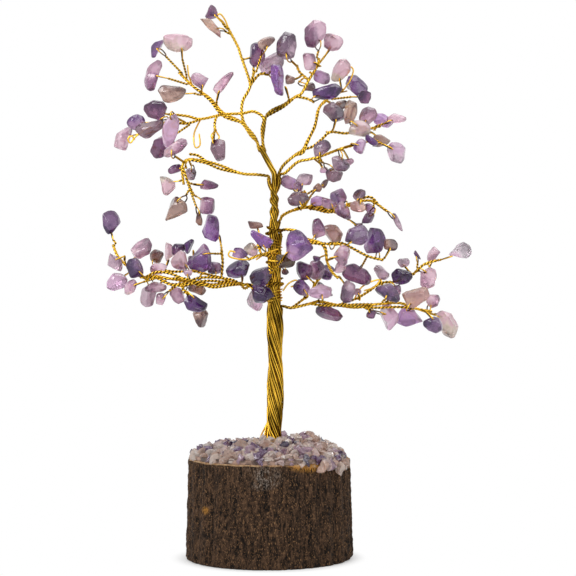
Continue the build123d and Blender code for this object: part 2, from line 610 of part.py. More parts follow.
class Stone:
    """One chip at its place: its axes, outline, hole and the wire that holds it."""

    def __init__(self, row, number, depth):
        across, up, self.length, self.width, tilt, cut, _ = row
        self.centre = place(across, up, depth)
        lean = math.radians(tilt)
        turn = math.radians(STONE_TURN if number % 2 else -STONE_TURN)
        self.along = (math.cos(lean) * math.cos(turn), math.cos(lean) * math.sin(turn), math.sin(lean))
        self.wide = (-math.sin(lean) * math.cos(turn), -math.sin(lean) * math.sin(turn), math.cos(lean))
        self.face = (math.sin(turn), -math.cos(turn), 0.0)
        self.thick = max(STONE_THINNEST, STONE_PLUMPNESS * min(self.length, self.width))
        self.outline = [(u * self.length / 2, v * self.width / 2) for u, v in CUTS[cut]]

    def at(self, u, v, n):
        """Point of the stone's own axes."""
        point = shift(self.centre, self.along, u)
        return shift(shift(point, self.wide, v), self.face, n)

    def corners(self):
        """Corners of the front facet, the girdle and the back facet."""
        half = self.thick / 2
        corners = [self.at(u, v, 0) for u, v in self.outline]
        for share, side, sway in ((FRONT_FACET, half, FACET_SHIFT), (BACK_FACET, -half, -FACET_SHIFT)):
            shift_u = sway * self.length / 2
            corners += [self.at(u * share + shift_u, v * share - sway * self.width / 2, side)
                        for u, v in self.outline]
        return corners

    def reach(self, u, v):
        """Distance from the centre to the outline along a direction of the stone's plane."""
        least = self.length
        for (au, av), (bu, bv) in zip(self.outline, self.outline[1:] + self.outline[:1]):
            normal = (bv - av, au - bu)
            ahead = normal[0] * u + normal[1] * v
            offset = normal[0] * au + normal[1] * av
            if ahead * offset > 0:
                least = min(least, offset / ahead)
        return least

    def hang(self, fork, axis, diameter):
        """Set the stone's wire between a fork on the bough and the hole on the stone's near side."""
        ray = tuple(f - c for f, c in zip(fork, self.centre))
        u = dot(ray, self.along)
        v = dot(ray, self.wide)
        flat = math.hypot(u, v)
        u, v = u / flat, v / flat
        reach = self.reach(u, v)
        inset = min(HOLE_INSET, HOLE_DEEPEST_SHARE * reach)
        self.level = self.thick / 2 + WIRE_RADIUS + FACE_GAP
        self.hole = (u * (reach - inset), v * (reach - inset))
        self.edge = (u * (reach + LOOP_LEAD), v * (reach + LOOP_LEAD))
        self.neck = self.at(u * (reach + FORK_LENGTH), v * (reach + FORK_LENGTH), 0)
        outward = across_to(unit(fork, self.neck), axis)
        self.seat = shift(fork, outward, diameter / 2 + WIRE_DIAMETER + TWIN_GAP + SEAT_GAP)
        return math.dist(self.seat, self.neck)

    def bars(self, bough):
        """Bars that stand for the stone, its loop and its stem."""
        half_straight = max(0.0, (self.length - self.width) / 2)
        hole_middle = self.at(*self.hole, 0)
        edge_middle = self.at(*self.edge, 0)
        return [
            Bar(bough, self.at(-half_straight, 0, 0), self.at(half_straight, 0, 0), self.width / 2),
            Bar(bough, edge_middle, hole_middle, self.level + WIRE_RADIUS),
            Bar(bough, self.seat, self.neck, WIRE_DIAMETER + TWIN_GAP),
        ]

    def wire_points(self):
        """Points of the stone's wire: up one leg, through the hole and down the other."""
        stem = unit(self.seat, self.neck)
        side = across_to(self.face, stem)
        offset = WIRE_RADIUS + TWIN_GAP / 2
        front = [shift(self.seat, side, offset), shift(self.neck, side, offset),
                 self.at(*self.edge, self.level), self.at(*self.hole, self.level)]
        back = [shift(self.seat, side, -offset), shift(self.neck, side, -offset),
                self.at(*self.edge, -self.level), self.at(*self.hole, -self.level)]
        return front + back[::-1]

    def solid(self):
        """The faceted chip with its drilled hole."""
        with BuildPart() as chip:
            ConvexPolyhedron(self.corners())
            with Locations(Plane(origin=self.at(*self.hole, 0), z_dir=self.face)):
                Cylinder(HOLE_RADIUS, 2 * self.thick, mode=Mode.SUBTRACT)
        return chip.part


def stations(points):
    """Places along a route, a short step apart: (distance from its start, point, direction)."""
    places = []
    travelled = 0.0
    for a, b in zip(points, points[1:]):
        run = math.dist(a, b)
        steps = max(1, round(run / STEM_STEP))
        for step in range(steps):
            places.append((travelled + run * step / steps, mix(a, b, step / steps), unit(a, b)))
        travelled += run
    places.append((travelled, points[-1], unit(points[-2], points[-1])))
    return places


STATIONS = {bough: [(stations(points), diameter) for points, diameter in ROUTES[bough]] for bough in BOUGHS}


def nearest_route(bough, centre):
    """The route of a bough that comes nearest to a point, with the nearest station's place in it."""
    best = None
    for index, (places, _) in enumerate(STATIONS[bough]):
        for spot, (_, point, _) in enumerate(places):
            distance = math.dist(point, centre)
            if best is None or distance < best[0]:
                best = (distance, index, spot)
    return best


def fork_options(bough, stone, taken):
    """Forks for a stone's stem, from the nearest one back towards the root."""
    distance, index, spot = nearest_route(bough, stone.centre)
    places, diameter = STATIONS[bough][index]
    nearest = places[spot][0]
    order = list(range(spot, -1, -1)) + list(range(spot + 1, len(places)))
    tried = 0
    for option in order:
        along, point, axis = places[option]
        if option <= spot and nearest - along < STEM_LEAN * distance - stone.length / 2:
            continue
        if any(route == index and abs(along - used) < STEM_SPACING for route, used in taken):
            continue
        tried += 1
        if tried > FORKS_TRIED:
            return
        yield index, along, point, axis, diameter


def bars_around(across, up):
    """Bars that a stone at a place of the front elevation, or its stem, could meet at any depth."""
    x, _, z = place(across, up, 0)
    around = []
    for bar in BARS:
        middle = bar.middles[0]
        if math.hypot(middle[0] - x, middle[2] - z) < LONGEST_STEM + bar.reach + bar.travel:
            around.append(bar)
    return around


def least_clearance(bars, around):
    """Least gap of a stone's bars to the bars around it, less what is asked of it."""
    least = CLEAR_OTHER_BOUGH
    stem = bars[-1]
    for bar in bars:
        for other in around:
            asked = CLEAR_SAME_BOUGH if other.bough == bar.bough else CLEAR_OTHER_BOUGH
            if bar is stem and other.is_route and other.bough == bar.bough:
                asked = SEAT_GAP / 2
            least = min(least, bar.gap(other, asked + CLEAR_OTHER_BOUGH) - asked)
            if least < 0:
                return least
    return least


def free_depths(start):
    """Depths to try, from the wished one outwards."""
    yield start
    for step in range(1, FREE_TRIES + 1):
        yield start + step * FREE_STEP
        yield start - step * FREE_STEP


def hang_stone(bough, row, number, taken):
    """Hang a stone at the free depth nearest to the one wished for."""
    across, up, front = row[0], row[1], row[-1]
    around = bars_around(across, up)
    _, index, spot = nearest_route(bough, place(across, up, 0))
    wire_depth = -STATIONS[bough][index][0][spot][1][1]
    best = None
    for depth in free_depths(wire_depth + front):
        chip = Stone(row, number, depth)
        for route, along, point, axis, diameter in fork_options(bough, chip, taken):
            stone = Stone(row, number, depth)
            if stone.hang(point, axis, diameter) < SHORTEST_STEM:
                continue
            bars = stone.bars(bough)
            clearance = least_clearance(bars, around)
            if best is None or clearance > best[0]:
                best = (clearance, stone, bars, (route, along))
            if clearance >= 0:
                return best
    return best


STONES = {}
for bough, parts in BOUGHS.items():
    taken_forks = []
    STONES[bough] = []
    for number, row in enumerate(parts["stones"]):
        clearance, stone, bars, fork_used = hang_stone(bough, row, number, taken_forks)
        if clearance < 0:
            print(f"{bough} stone at {row[0]}, {row[1]} found no free place, short by {-clearance:.2f}")
        taken_forks.append(fork_used)
        BARS.extend(bars)
        STONES[bough].append(stone)
    root = ", ".join(f"{value:.3f}" for value in ROOTS[bough])
    print(f"{bough}: {len(STONES[bough])} stones, root at {root}")


# Log base


def log_radius(diameter, angle):
    """Radius of the log at an angle, a little out of round."""
    wobble = sum(share * math.sin(lobes * angle + start) for lobes, share, start in LOG_WAVES)
    return diameter / 2 + LOG_OUT_OF_ROUND * wobble


def log_outline(diameter, height, inset):
    """Closed smooth outline of the log inside an inset at a height."""
    points = []
    for index in range(LOG_OUTLINE_POINTS):
        angle = 2 * math.pi * index / LOG_OUTLINE_POINTS
        radius = log_radius(diameter, angle) - inset
        points.append((radius * math.cos(angle), radius * math.sin(angle)))
    return filled_spline(points, height)


def bark_outline(diameter, height):
    """Closed outline of the bark at a height, with a furrow between every two ribs."""
    points = []
    for index in range(2 * BARK_RIBS):
        uneven = index * GOLDEN_SHARE % 1
        angle = 2 * math.pi * (index + BARK_RIB_UNEVEN * (uneven - 0.5)) / (2 * BARK_RIBS)
        radius = log_radius(diameter, angle)
        if index % 2:
            radius -= BARK_FURROW_DEPTH * (1 - BARK_FURROW_UNEVEN * uneven)
        points.append((radius * math.cos(angle), radius * math.sin(angle)))
    return filled_spline(points, height)


def filled_spline(points, height):
    """Face inside a closed curve through points at a height."""
    with BuildSketch(Plane.XY.offset(height)) as outline:
        with BuildLine():
            Spline(*points, periodic=True)
        make_face()
    return outline.sketch


def log_block(inset):
    """The log inside an inset from its bark's outer face."""
    with BuildPart() as block:
        loft([log_outline(LOG_DIAMETER, 0, inset), log_outline(LOG_TOP_DIAMETER, LOG_HEIGHT, inset)])
    return block.part


os.makedirs("parts", exist_ok=True)

with BuildPart() as ribbed_block:
    loft([bark_outline(LOG_DIAMETER, 0), bark_outline(LOG_TOP_DIAMETER, LOG_HEIGHT)])

with BuildPart() as log_bark:
    Cylinder(LOG_DIAMETER / 2 + LOG_OUT_OF_ROUND, LOG_HEIGHT, align=(Align.CENTER, Align.CENTER, Align.MIN))
    fillet(log_bark.edges().group_by(Axis.Z)[0], BARK_FOOT_ROUND)
    add(ribbed_block.part, mode=Mode.INTERSECT)
    add(log_block(BARK_THICKNESS), mode=Mode.SUBTRACT)
log_bark.part.label = "log_bark"
export_step(log_bark.part, "parts/log_bark.step")

TRUNK_FOOT = trunk_axis(LOG_HEIGHT)

with BuildPart() as log_wood:
    add(log_block(BARK_THICKNESS + BARK_GAP))
    with Locations(TRUNK_FOOT):
        Hole(SOCKET_RADIUS, SOCKET_DEPTH)
log_wood.part.label = "log_wood"
export_step(log_wood.part, "parts/log_wood.step")


# Gravel mound

BED_RADIUS = LOG_TOP_DIAMETER / 2 - BED_MARGIN
BED_SLOPE = (BED_CROWN_HEIGHT - BED_RIM_HEIGHT) / BED_RADIUS

with BuildPart() as glue_bed:
    with BuildSketch(Plane.XZ):
        with BuildLine():
            Polyline((0, LOG_HEIGHT), (BED_RADIUS, LOG_HEIGHT), (BED_RADIUS, LOG_HEIGHT + BED_RIM_HEIGHT),
                     (0, LOG_HEIGHT + BED_CROWN_HEIGHT), close=True)
        make_face()
    revolve(axis=Axis.Z)
    with Locations(TRUNK_FOOT):
        Cylinder(SOCKET_RADIUS, 2 * BED_CROWN_HEIGHT, mode=Mode.SUBTRACT)
glue_bed.part.label = "glue_bed"
export_step(glue_bed.part, "parts/glue_bed.step")


def gravel_bit(x, y, number):
    """One bit of gravel, seated on the bed's slope."""
    out = math.hypot(x, y)
    slope = math.atan(BED_SLOPE)
    seat = (x, y, LOG_HEIGHT + BED_CROWN_HEIGHT - BED_SLOPE * out)
    upright = (math.sin(slope) * x / out, math.sin(slope) * y / out, math.cos(slope))
    plane = Plane(origin=seat, z_dir=upright).offset(GRAVEL_SEAT_GAP)
    height = GRAVEL_HEIGHT * (GRAVEL_LOWEST + GRAVEL_SPREAD * (number * GOLDEN_SHARE % 1))
    corners = []
    for rise, share in GRAVEL_RINGS:
        for side in range(GRAVEL_SIDES):
            angle = 2 * math.pi * (side + number * GOLDEN_SHARE) / GRAVEL_SIDES
            uneven = 1 - GRAVEL_UNEVEN * (1 - math.cos(2 * side + number))
            radius = GRAVEL_SIZE / 2 * share * uneven
            corner = (radius * math.cos(angle), radius * math.sin(angle), rise * height)
            corners.append(plane.from_local_coords(corner))
    with BuildPart() as bit:
        ConvexPolyhedron(corners)
    return bit.part


gravel = {tone: [] for tone in GRAVEL_TONES}
gravel_count = 0
ring_radius = SOCKET_RADIUS + GRAVEL_PITCH / 2
while ring_radius < 2 * BED_RADIUS:
    in_ring = int(2 * math.pi * ring_radius / GRAVEL_PITCH)
    for spot in range(in_ring):
        angle = 2 * math.pi * (spot + ring_radius) / in_ring
        x = TRUNK_FOOT[0] + ring_radius * math.cos(angle)
        y = TRUNK_FOOT[1] + ring_radius * math.sin(angle)
        if math.hypot(x, y) < BED_RADIUS - GRAVEL_SIZE * GRAVEL_RIM_SHARE:
            tone = GRAVEL_ORDER[gravel_count % len(GRAVEL_ORDER)]
            gravel[tone].append(gravel_bit(x, y, gravel_count))
            gravel_count += 1
    ring_radius += GRAVEL_PITCH


def write_group(name, solids):
    """Write a node of separate solids."""
    with BuildPart() as group:
        add(solids)
    group.part.label = name
    export_step(group.part, f"parts/{name}.step")


for tone, bits in gravel.items():
    write_group(f"gravel_{tone}", bits)

# Trunk

write_group("trunk_core_strands", [tube(path, STRAND_DIAMETER, STRAND_LAY) for path in CORE_PATHS])
write_group("trunk_outer_strands", [tube(path, STRAND_DIAMETER, STRAND_LAY) for path in OUTER_PATHS.values()])
for name, points in BINDINGS.items():
    print(name, "least gap to itself", round(gap_to_itself(points, BINDING_WIRE), 3))
    write_group(name, [tube(points, BINDING_WIRE, TRUNK_RADIUS)])

# Boughs, with their stones and the wires that hold them

for bough in BOUGHS:
    wires = []
    for index, (points, diameter) in enumerate(ROUTES[bough]):
        wires.append(tube(points, diameter, BOUGH_BEND_RADIUS, ball_root=index == 0))
    write_group(f"{bough}_bough", wires)
    stems = [tube(stone.wire_points(), WIRE_DIAMETER, STEM_BEND_RADIUS) for stone in STONES[bough]]
    write_group(f"{bough}_stems", stems)
    write_group(f"{bough}_stones", [stone.solid() for stone in STONES[bough]])
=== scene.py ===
"""Looks of a gemstone tree ornament: gold wire, amethyst chips, a gravel mound and a log slice with its bark.

Tables are in millimetres on a front elevation: across to the right, up from the table, front towards the viewer.
"""

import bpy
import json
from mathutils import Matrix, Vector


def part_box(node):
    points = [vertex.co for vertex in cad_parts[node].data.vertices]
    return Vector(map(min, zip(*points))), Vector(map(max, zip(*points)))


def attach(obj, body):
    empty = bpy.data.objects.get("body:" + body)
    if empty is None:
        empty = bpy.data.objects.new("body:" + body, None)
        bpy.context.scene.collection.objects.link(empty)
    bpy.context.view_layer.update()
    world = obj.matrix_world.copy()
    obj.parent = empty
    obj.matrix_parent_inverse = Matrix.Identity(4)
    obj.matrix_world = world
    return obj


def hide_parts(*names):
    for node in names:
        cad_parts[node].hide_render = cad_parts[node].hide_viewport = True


bl_info = {
    "name": "Gemstone tree ornament",
    "version": (1, 0, 0),
    "blender": (4, 5, 0),
    "location": "3D View > Sidebar > Gem tree",
    "description": "Dresses a gemstone tree: twisted wire, drilled chips, gravel, bark and a plain studio",
    "category": "Object",
}

import json
import math
import random

import bmesh
import bpy
import numpy as np
from bpy.props import FloatProperty, FloatVectorProperty, IntProperty, PointerProperty
from mathutils import Quaternion, Vector, noise
from mathutils.bvhtree import BVHTree
from mathutils.geometry import intersect_point_line

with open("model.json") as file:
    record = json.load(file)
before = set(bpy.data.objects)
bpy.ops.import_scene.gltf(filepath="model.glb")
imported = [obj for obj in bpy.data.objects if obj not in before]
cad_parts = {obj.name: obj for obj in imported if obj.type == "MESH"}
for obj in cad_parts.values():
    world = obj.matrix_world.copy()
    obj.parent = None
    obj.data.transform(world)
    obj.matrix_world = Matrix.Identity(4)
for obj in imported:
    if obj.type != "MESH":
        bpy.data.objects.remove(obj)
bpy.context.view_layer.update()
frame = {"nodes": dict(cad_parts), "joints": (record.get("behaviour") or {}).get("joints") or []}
MM = 0.001
# Name of the gold wire's material: no slot of the frame has it
GOLD = "bright_wire"
QUARTZ_IOR = 1.54
QUARTZ_CLEARNESS = 0.6
# One wire alone: its number, ring and lay
SINGLE_WIRE = (1, 0.0, 1.0)

# Trunk: its axis as (across, up) at the log's top, where it starts to lean, and at the fork
TRUNK_AXIS = ((2.6, 36.0), (2.0, 138.2), (-3.1, 148.2))
TRUNK_FOOT_UP = 33.0
STRAND_LAY = 50.0
CORE_RING = 0.82
OUTER_RING = 2.24
CORE_STRANDS = 3
OUTER_STRANDS = 8
FIRST_STRAND_ANGLE = -25.0
FOOT_FLARE = 0.7
FOOT_FLARE_HEIGHT = 20.0
FOOT_LEAN = 3.2
STRAND_STEP = 2.0
BOUGH_TAIL = 2.0
LEAVING_LENGTH = 5.0
# The trunk isn't round: by how much, and where that starts in radians
BULGE = 0.17
BULGE_START = 0.6
# Where the trunk gets thinner: from a height to a height, by this share
THINNING = ((38.0, 46.0, 0.1), (88.0, 97.0, 0.2), (117.0, 124.0, 0.3))
# Where the strands that go on to the crown take an extra turn
TIGHT_TWIST = (121.0, 135.0)

# Outer strands in their order round the trunk, with the height at which each one turns out
OUTER_STRAND_EXITS = {
    "right_middle": 136.4,
    "right_low": 89.5,
    "right_upper": 137.0,
    "front": 108.0,
    "left_mid": 136.8,
    "right_lower": 116.5,
    "left_low": 97.5,
    "right_arching": 121.0,
}
# For a strand or a loose wire that doesn't turn out
NO_EXIT = 200.0

# Bindings: height of the first turn and number of turns
BINDINGS = {"lower_binding": (92.0, 4), "upper_binding": (111.0, 3)}
BINDING_RING = 2.45
BINDING_PITCH = 1.05
BINDING_STEPS = 16

# Routes of each bough's twisted wires as (across, up, front): the first from the bough's root, the others from
# a point of an earlier route
ROUTES = {
    "crown_left": [
        [(-6.4, 152, -1), (-9.9, 156.8, -1.2), (-16.5, 160.3, -1.5), (-21.3, 165.7, -3), (-27.2, 170, -5),
         (-32.7, 175.4, -6)],
        [(-16.5, 160.3, -1.5), (-18.6, 158.6, 1.5), (-19.3, 155.6, 3), (-18.9, 153, 3.5)],
    ],
    "left_upper": [
        [(-2.4, 154.5, -2), (-1.9, 158.6, -3.4), (-5.5, 161.1, -5.5), (-9.7, 160.6, -7.5), (-16.5, 160.4, -8.8),
         (-24.8, 158.6, -7.5), (-29.6, 159.5, -6), (-36, 160.1, -5)],
        [(-24.8, 158.6, -7.5), (-30, 156.6, -4), (-36, 157.4, -2)],
    ],
    "leader": [
        [(-5.2, 151.6, 2.6), (-8.6, 155.8, 3), (-9.6, 160, 3), (-9.2, 164.1, 2.5), (-7.5, 167.3, 2),
         (-6.6, 169.7, 1.5), (-7.3, 173, 1.2), (-9.9, 180.4, 0.5), (-11.1, 184, 0), (-14.8, 191, 0)],
        [(-6.6, 169.7, 1.5), (-3.6, 173.6, 1), (-1.2, 174.2, 1)],
        [(-6.6, 169.7, 1.5), (-5.4, 173.6, 3), (-5.4, 176, 3.5)],
    ],
    "crown_right": [
        [(-1.6, 154.5, 1.4), (-0.9, 158.6, 1.5), (1.4, 161, 1), (5.5, 163, 0.5), (9.7, 165.9, 0), (11.9, 167.1, 0),
         (14.5, 172, -1), (17.5, 177, -1.5), (18.2, 180, -1.5)],
        [(14.5, 172, -1), (11.2, 175, -2), (10.2, 177.6, -2.5)],
        [(9.7, 165.9, 0), (13.6, 165, 2), (16.4, 163.6, 3)],
    ],
    "right_upper": [
        [(5.4, 141.5, -3), (9.6, 145.2, -4), (12.4, 147.2, -5), (14, 150.4, -6), (16.8, 155.8, -7),
         (18.2, 162.4, -8), (22.5, 167.2, -9), (27, 169, -9)],
        [(12.4, 147.2, -5), (16, 148.3, -4), (19.2, 150.8, -3), (22.4, 153.4, -3), (28.4, 153, -3),
         (36.4, 154.6, -3), (40.5, 155.6, -3)],
    ],
    "right_middle": [
        [(6, 138.2, 3.4), (10.4, 142, 4.2), (14.4, 142.9, 5), (19.2, 144.2, 5.6), (25.6, 146.6, 6),
         (30, 147.8, 6.2)],
    ],
    "left_mid": [
        [(-4, 137.9, -1), (-10, 138.3, 0), (-17.3, 141, 2), (-22.3, 142.3, 3.5), (-28.6, 143, 4),
         (-30.8, 140.4, 4.5), (-30.3, 134, 4.5)],
        [(-22.3, 142.3, 3.5), (-25.4, 144.6, 1), (-28.5, 145.2, 0)],
        [(-30.8, 140.4, 4.5), (-28.2, 133.4, 6), (-26.6, 130, 6.4)],
    ],
    "right_arching": [
        [(5, 123.2, -3), (8, 124.9, -5), (12, 126, -6), (16.5, 126.8, -7), (22.4, 126.2, -7.4), (28.8, 127.4, -7.6),
         (34, 128.7, -7.4), (37.4, 128.7, -7), (40, 127.2, -7), (43, 124.9, -7)],
        [(12, 126, -6), (13.6, 129.6, -7.5), (12.9, 132.6, -8)],
    ],
    "front": [
        [(4, 108.8, 5), (1.4, 109.6, 8.5), (-2.4, 108.8, 11.5), (-7, 107, 12.5)],
        [(1.4, 109.6, 8.5), (0.4, 105.6, 11), (1, 102, 12)],
        [(-2.4, 108.8, 11.5), (-3.6, 112.4, 9.5), (-2.4, 115.6, 7.5)],
    ],
    "right_lower": [
        [(6.4, 117.9, 3.4), (10.3, 117.2, 6), (13.2, 114.6, 9), (18.3, 113, 11), (20.2, 110.4, 12),
         (20.7, 106.6, 12.6), (22.3, 103, 13), (24.7, 100.4, 13)],
        [(18.3, 113, 11), (22, 112.6, 9), (26, 113, 7.5), (30, 111.2, 6), (35.5, 108.4, 4.4), (41, 107, 3.4)],
    ],
    "right_low": [
        [(8.4, 89.9, 1), (15, 91.4, 0), (18.4, 92.1, -1), (25, 90.8, -1), (31.6, 90, 1), (38.6, 91.1, 2),
         (47, 91.6, 2.4), (53, 89.6, 2.6), (58.6, 88.6, 2.4)],
        [(25, 90.8, -1), (31.7, 93.2, -4), (36, 95.6, -6), (41, 98.8, -7), (47, 99.4, -8), (52.1, 101.6, -8.4),
         (56.7, 105.6, -8.6), (62, 107.2, -8.6)],
        [(8.4, 89.9, 1), (12, 92.6, -1), (15.6, 95.8, -3), (16.8, 99, -4)],
    ],
    "left_low": [
        [(-4, 98, -1), (-10, 98.4, 1), (-13.5, 98.9, 2.5), (-20, 98.2, 5), (-25, 99, 6.4), (-30, 99.6, 7),
         (-35, 100.3, 7), (-40, 101.2, 6.2), (-45, 100.8, 5), (-50, 104.3, 3), (-54, 108.2, 1.4), (-56, 112.6, 0.6)],
        [(-13.5, 98.9, 2.5), (-17, 100.6, 0), (-21, 101.6, -2), (-26.7, 103, -4), (-35.3, 103, -5),
         (-41, 104.4, -5)],
        [(-17, 100.6, 0), (-16.5, 106, 0.8), (-16.9, 111, 1.4)],
        [(-10, 98.4, 1), (-8.4, 96.8, 5), (-6.2, 98.2, 8)],
        [(-30, 99.6, 7), (-30.6, 97.2, 9), (-28.4, 94.6, 10)],
    ],
}

# Stones of each bough as (across, up, tone)
STONES = {
    "crown_left": [
        (-40.2, 184.7, "violet"), (-32.6, 185.6, "cream"), (-41.6, 174, "mauve"), (-24.3, 171.9, "mauve"),
        (-16.1, 170.2, "rose"), (-34.3, 167.3, "taupe"), (-18, 146, "smoke"),
    ],
    "left_upper": [
        (-41.6, 161.4, "plum"), (-48, 157, "violet"), (-42, 155.4, "smoke"), (-52.2, 152, "rose"),
        (-34.8, 152.8, "pale"), (-39, 148, "dark"),
    ],
    "leader": [
        (-20, 196.3, "dark"), (-19.6, 190, "beige"), (-4.2, 181.3, "dark"), (-0.5, 185, "taupe"),
        (0.4, 178.8, "pale"),
    ],
    "crown_right": [
        (6.6, 183, "grey"), (3.6, 171.3, "bright"), (8, 173, "taupe"), (17.3, 189, "mauve"),
        (23, 186.8, "rose"), (14.9, 178.3, "rose"), (19.2, 173.5, "lilac"), (14.4, 169.8, "brown"),
        (20.8, 166.9, "deep"),
    ],
    "right_upper": [
        (26.2, 175.6, "cream"), (32, 170.5, "violet"), (35.3, 167, "dark"), (23.4, 160, "smoke"),
        (29.6, 160.4, "beige"), (26.8, 164.5, "brown"), (35.6, 158.4, "rose"), (41.6, 157.6, "lilac"),
        (46.4, 158, "rose"), (32.8, 153, "cream"), (40.8, 151.6, "taupe"), (46, 145.6, "pale"),
    ],
    "right_middle": [
        (36.4, 148.6, "deep"), (32.4, 146.6, "violet"), (18.8, 146.4, "grey"), (25.8, 141.6, "grey"),
        (28.6, 142.4, "mauve"), (23.4, 137.8, "smoke"), (19.6, 139.6, "pale"),
    ],
    "left_mid": [
        (-33.3, 146, "rose"), (-33.4, 139.6, "dark"), (-27.8, 138, "grey"), (-37.3, 134.7, "cream"),
        (-33.7, 124.7, "taupe"), (-21.7, 133.7, "mauve"), (-21.8, 126.7, "mauve"), (-24.6, 121.7, "brown"),
    ],
    "right_arching": [
        (13.2, 136.2, "pale"), (7.6, 135.2, "lilac"), (10.6, 133.2, "mauve"), (20.4, 135.2, "taupe"),
        (17.8, 132.8, "brown"), (10.4, 128.8, "smoke"), (17.6, 128.6, "lilac"), (22, 128, "mauve"),
        (25.8, 130.2, "violet"), (27, 124.8, "mauve"), (33, 130.4, "grey"), (32, 126, "beige"),
        (36.8, 126, "violet"), (35.6, 121.6, "plum"), (32.4, 119.6, "smoke"), (46.8, 120.6, "grey"),
    ],
    "front": [
        (-10.2, 109.3, "violet"), (-3.2, 114.2, "bright"), (-6, 110.4, "cream"), (-3.9, 119.4, "brown"),
        (-2, 102.2, "slate"), (5.6, 106.6, "olive"), (10.4, 111.8, "violet"), (6, 103, "brown"),
    ],
    "right_lower": [
        (17.8, 118, "mauve"), (22, 116.4, "beige"), (25.8, 108.2, "rose"), (25.4, 104.2, "rose"),
        (28, 96, "grey"), (32.8, 101.4, "plum"), (17.4, 107.6, "dark"), (31, 115.4, "slate"),
        (39, 113.4, "violet"), (43.4, 112.2, "brown"),
    ],
    "right_low": [
        (12.8, 103.2, "plum"), (12, 97.2, "violet"), (17.6, 103.8, "mauve"), (21.4, 102.4, "slate"),
        (21, 97.2, "grey"), (18.6, 95.4, "pale"), (22, 87.4, "plum"), (41.2, 102.4, "pale"),
        (48.2, 101.4, "deep"), (49.4, 106.2, "pale"), (54, 109, "dark"), (57.4, 101.8, "rose"),
        (60.4, 109, "rose"), (69.1, 109.9, "clear"), (42.8, 95.2, "slate"), (46.4, 96.4, "mauve"),
        (52.5, 94, "beige"), (58.9, 92.4, "rose"), (36.8, 87.6, "dark"), (43.2, 86.6, "clear"),
        (50.9, 86, "lilac"), (59.1, 84, "slate"), (66, 84, "cream"), (32, 95.6, "rose"),
    ],
    "left_low": [
        (-19.9, 118.8, "bright"), (-56.5, 120.4, "slate"), (-54.8, 106.4, "grey"), (-54, 99.4, "pale"),
        (-45.4, 111.2, "rose"), (-47.4, 104.2, "slate"), (-40.4, 108.4, "brown"), (-39.6, 104.2, "rose"),
        (-36.6, 110, "cream"), (-32.6, 110.6, "dark"), (-28.4, 112, "deep"), (-31.2, 106.8, "rose"),
        (-23.8, 108.8, "violet"), (-27.6, 106.6, "grey"), (-10.5, 103.9, "deep"), (-19.6, 104.2, "dark"),
        (-48.2, 97, "rose"), (-40.2, 97.6, "rose"), (-43.2, 94.8, "grey"), (-38.3, 92.8, "rose"),
        (-31.8, 94, "mauve"), (-24.7, 91.4, "deep"), (-23.8, 86, "taupe"), (-26.4, 96.2, "brown"),
        (-28.6, 102.4, "pale"), (-5, 92, "clear"), (-2.2, 95, "deep"),
    ],
}

# Tones of the chips: body colour and the colour of its clouds and veins, as screen colours
TONES = {
    "violet": ((137, 84, 158), (196, 155, 192)),
    "bright": ((188, 132, 203), (155, 97, 181)),
    "deep": ((62, 21, 88), (106, 57, 129)),
    "dark": ((86, 42, 97), (147, 97, 135)),
    "plum": ((95, 45, 95), (148, 95, 133)),
    "slate": ((70, 41, 94), (132, 96, 140)),
    "smoke": ((90, 58, 87), (151, 116, 133)),
    "grey": ((149, 114, 141), (206, 177, 193)),
    "lilac": ((233, 188, 226), (196, 149, 205)),
    "pale": ((251, 219, 235), (222, 183, 214)),
    "mauve": ((169, 117, 155), (216, 175, 197)),
    "rose": ((214, 164, 190), (240, 207, 221)),
    "beige": ((229, 189, 166), (199, 153, 151)),
    "cream": ((255, 236, 218), (233, 195, 208)),
    "clear": ((255, 244, 250), (236, 195, 222)),
    "taupe": ((155, 116, 107), (204, 170, 157)),
    "brown": ((120, 77, 70), (172, 127, 111)),
    "olive": ((72, 47, 33), (113, 88, 68)),
}

# Twisted ropes beside a bough's main one: first and last point of the run, how far above and in front
COMPANIONS = {
    "left_low": [(2, 8, 2.1, 0.9), (3, 9, -1.7, 1.2), (2, 7, 0.9, 2.0), (4, 10, 1.5, 1.4)],
    "right_low": [(2, 6, 1.3, 1.0), (4, 8, -1.3, 1.0)],
    "right_arching": [(2, 7, -1.3, 1.2), (4, 9, 1.2, 1.0)],
    "right_upper": [(2, 6, 1.1, 1.0)],
    "right_lower": [(2, 6, 1.2, 1.0)],
    "left_mid": [(2, 5, 1.1, 0.9)],
    "front": [(1, 3, 1.1, 1.0)],
    "crown_left": [(2, 5, 1.0, 1.0)],
    "crown_right": [(2, 5, 1.0, 1.0)],
}

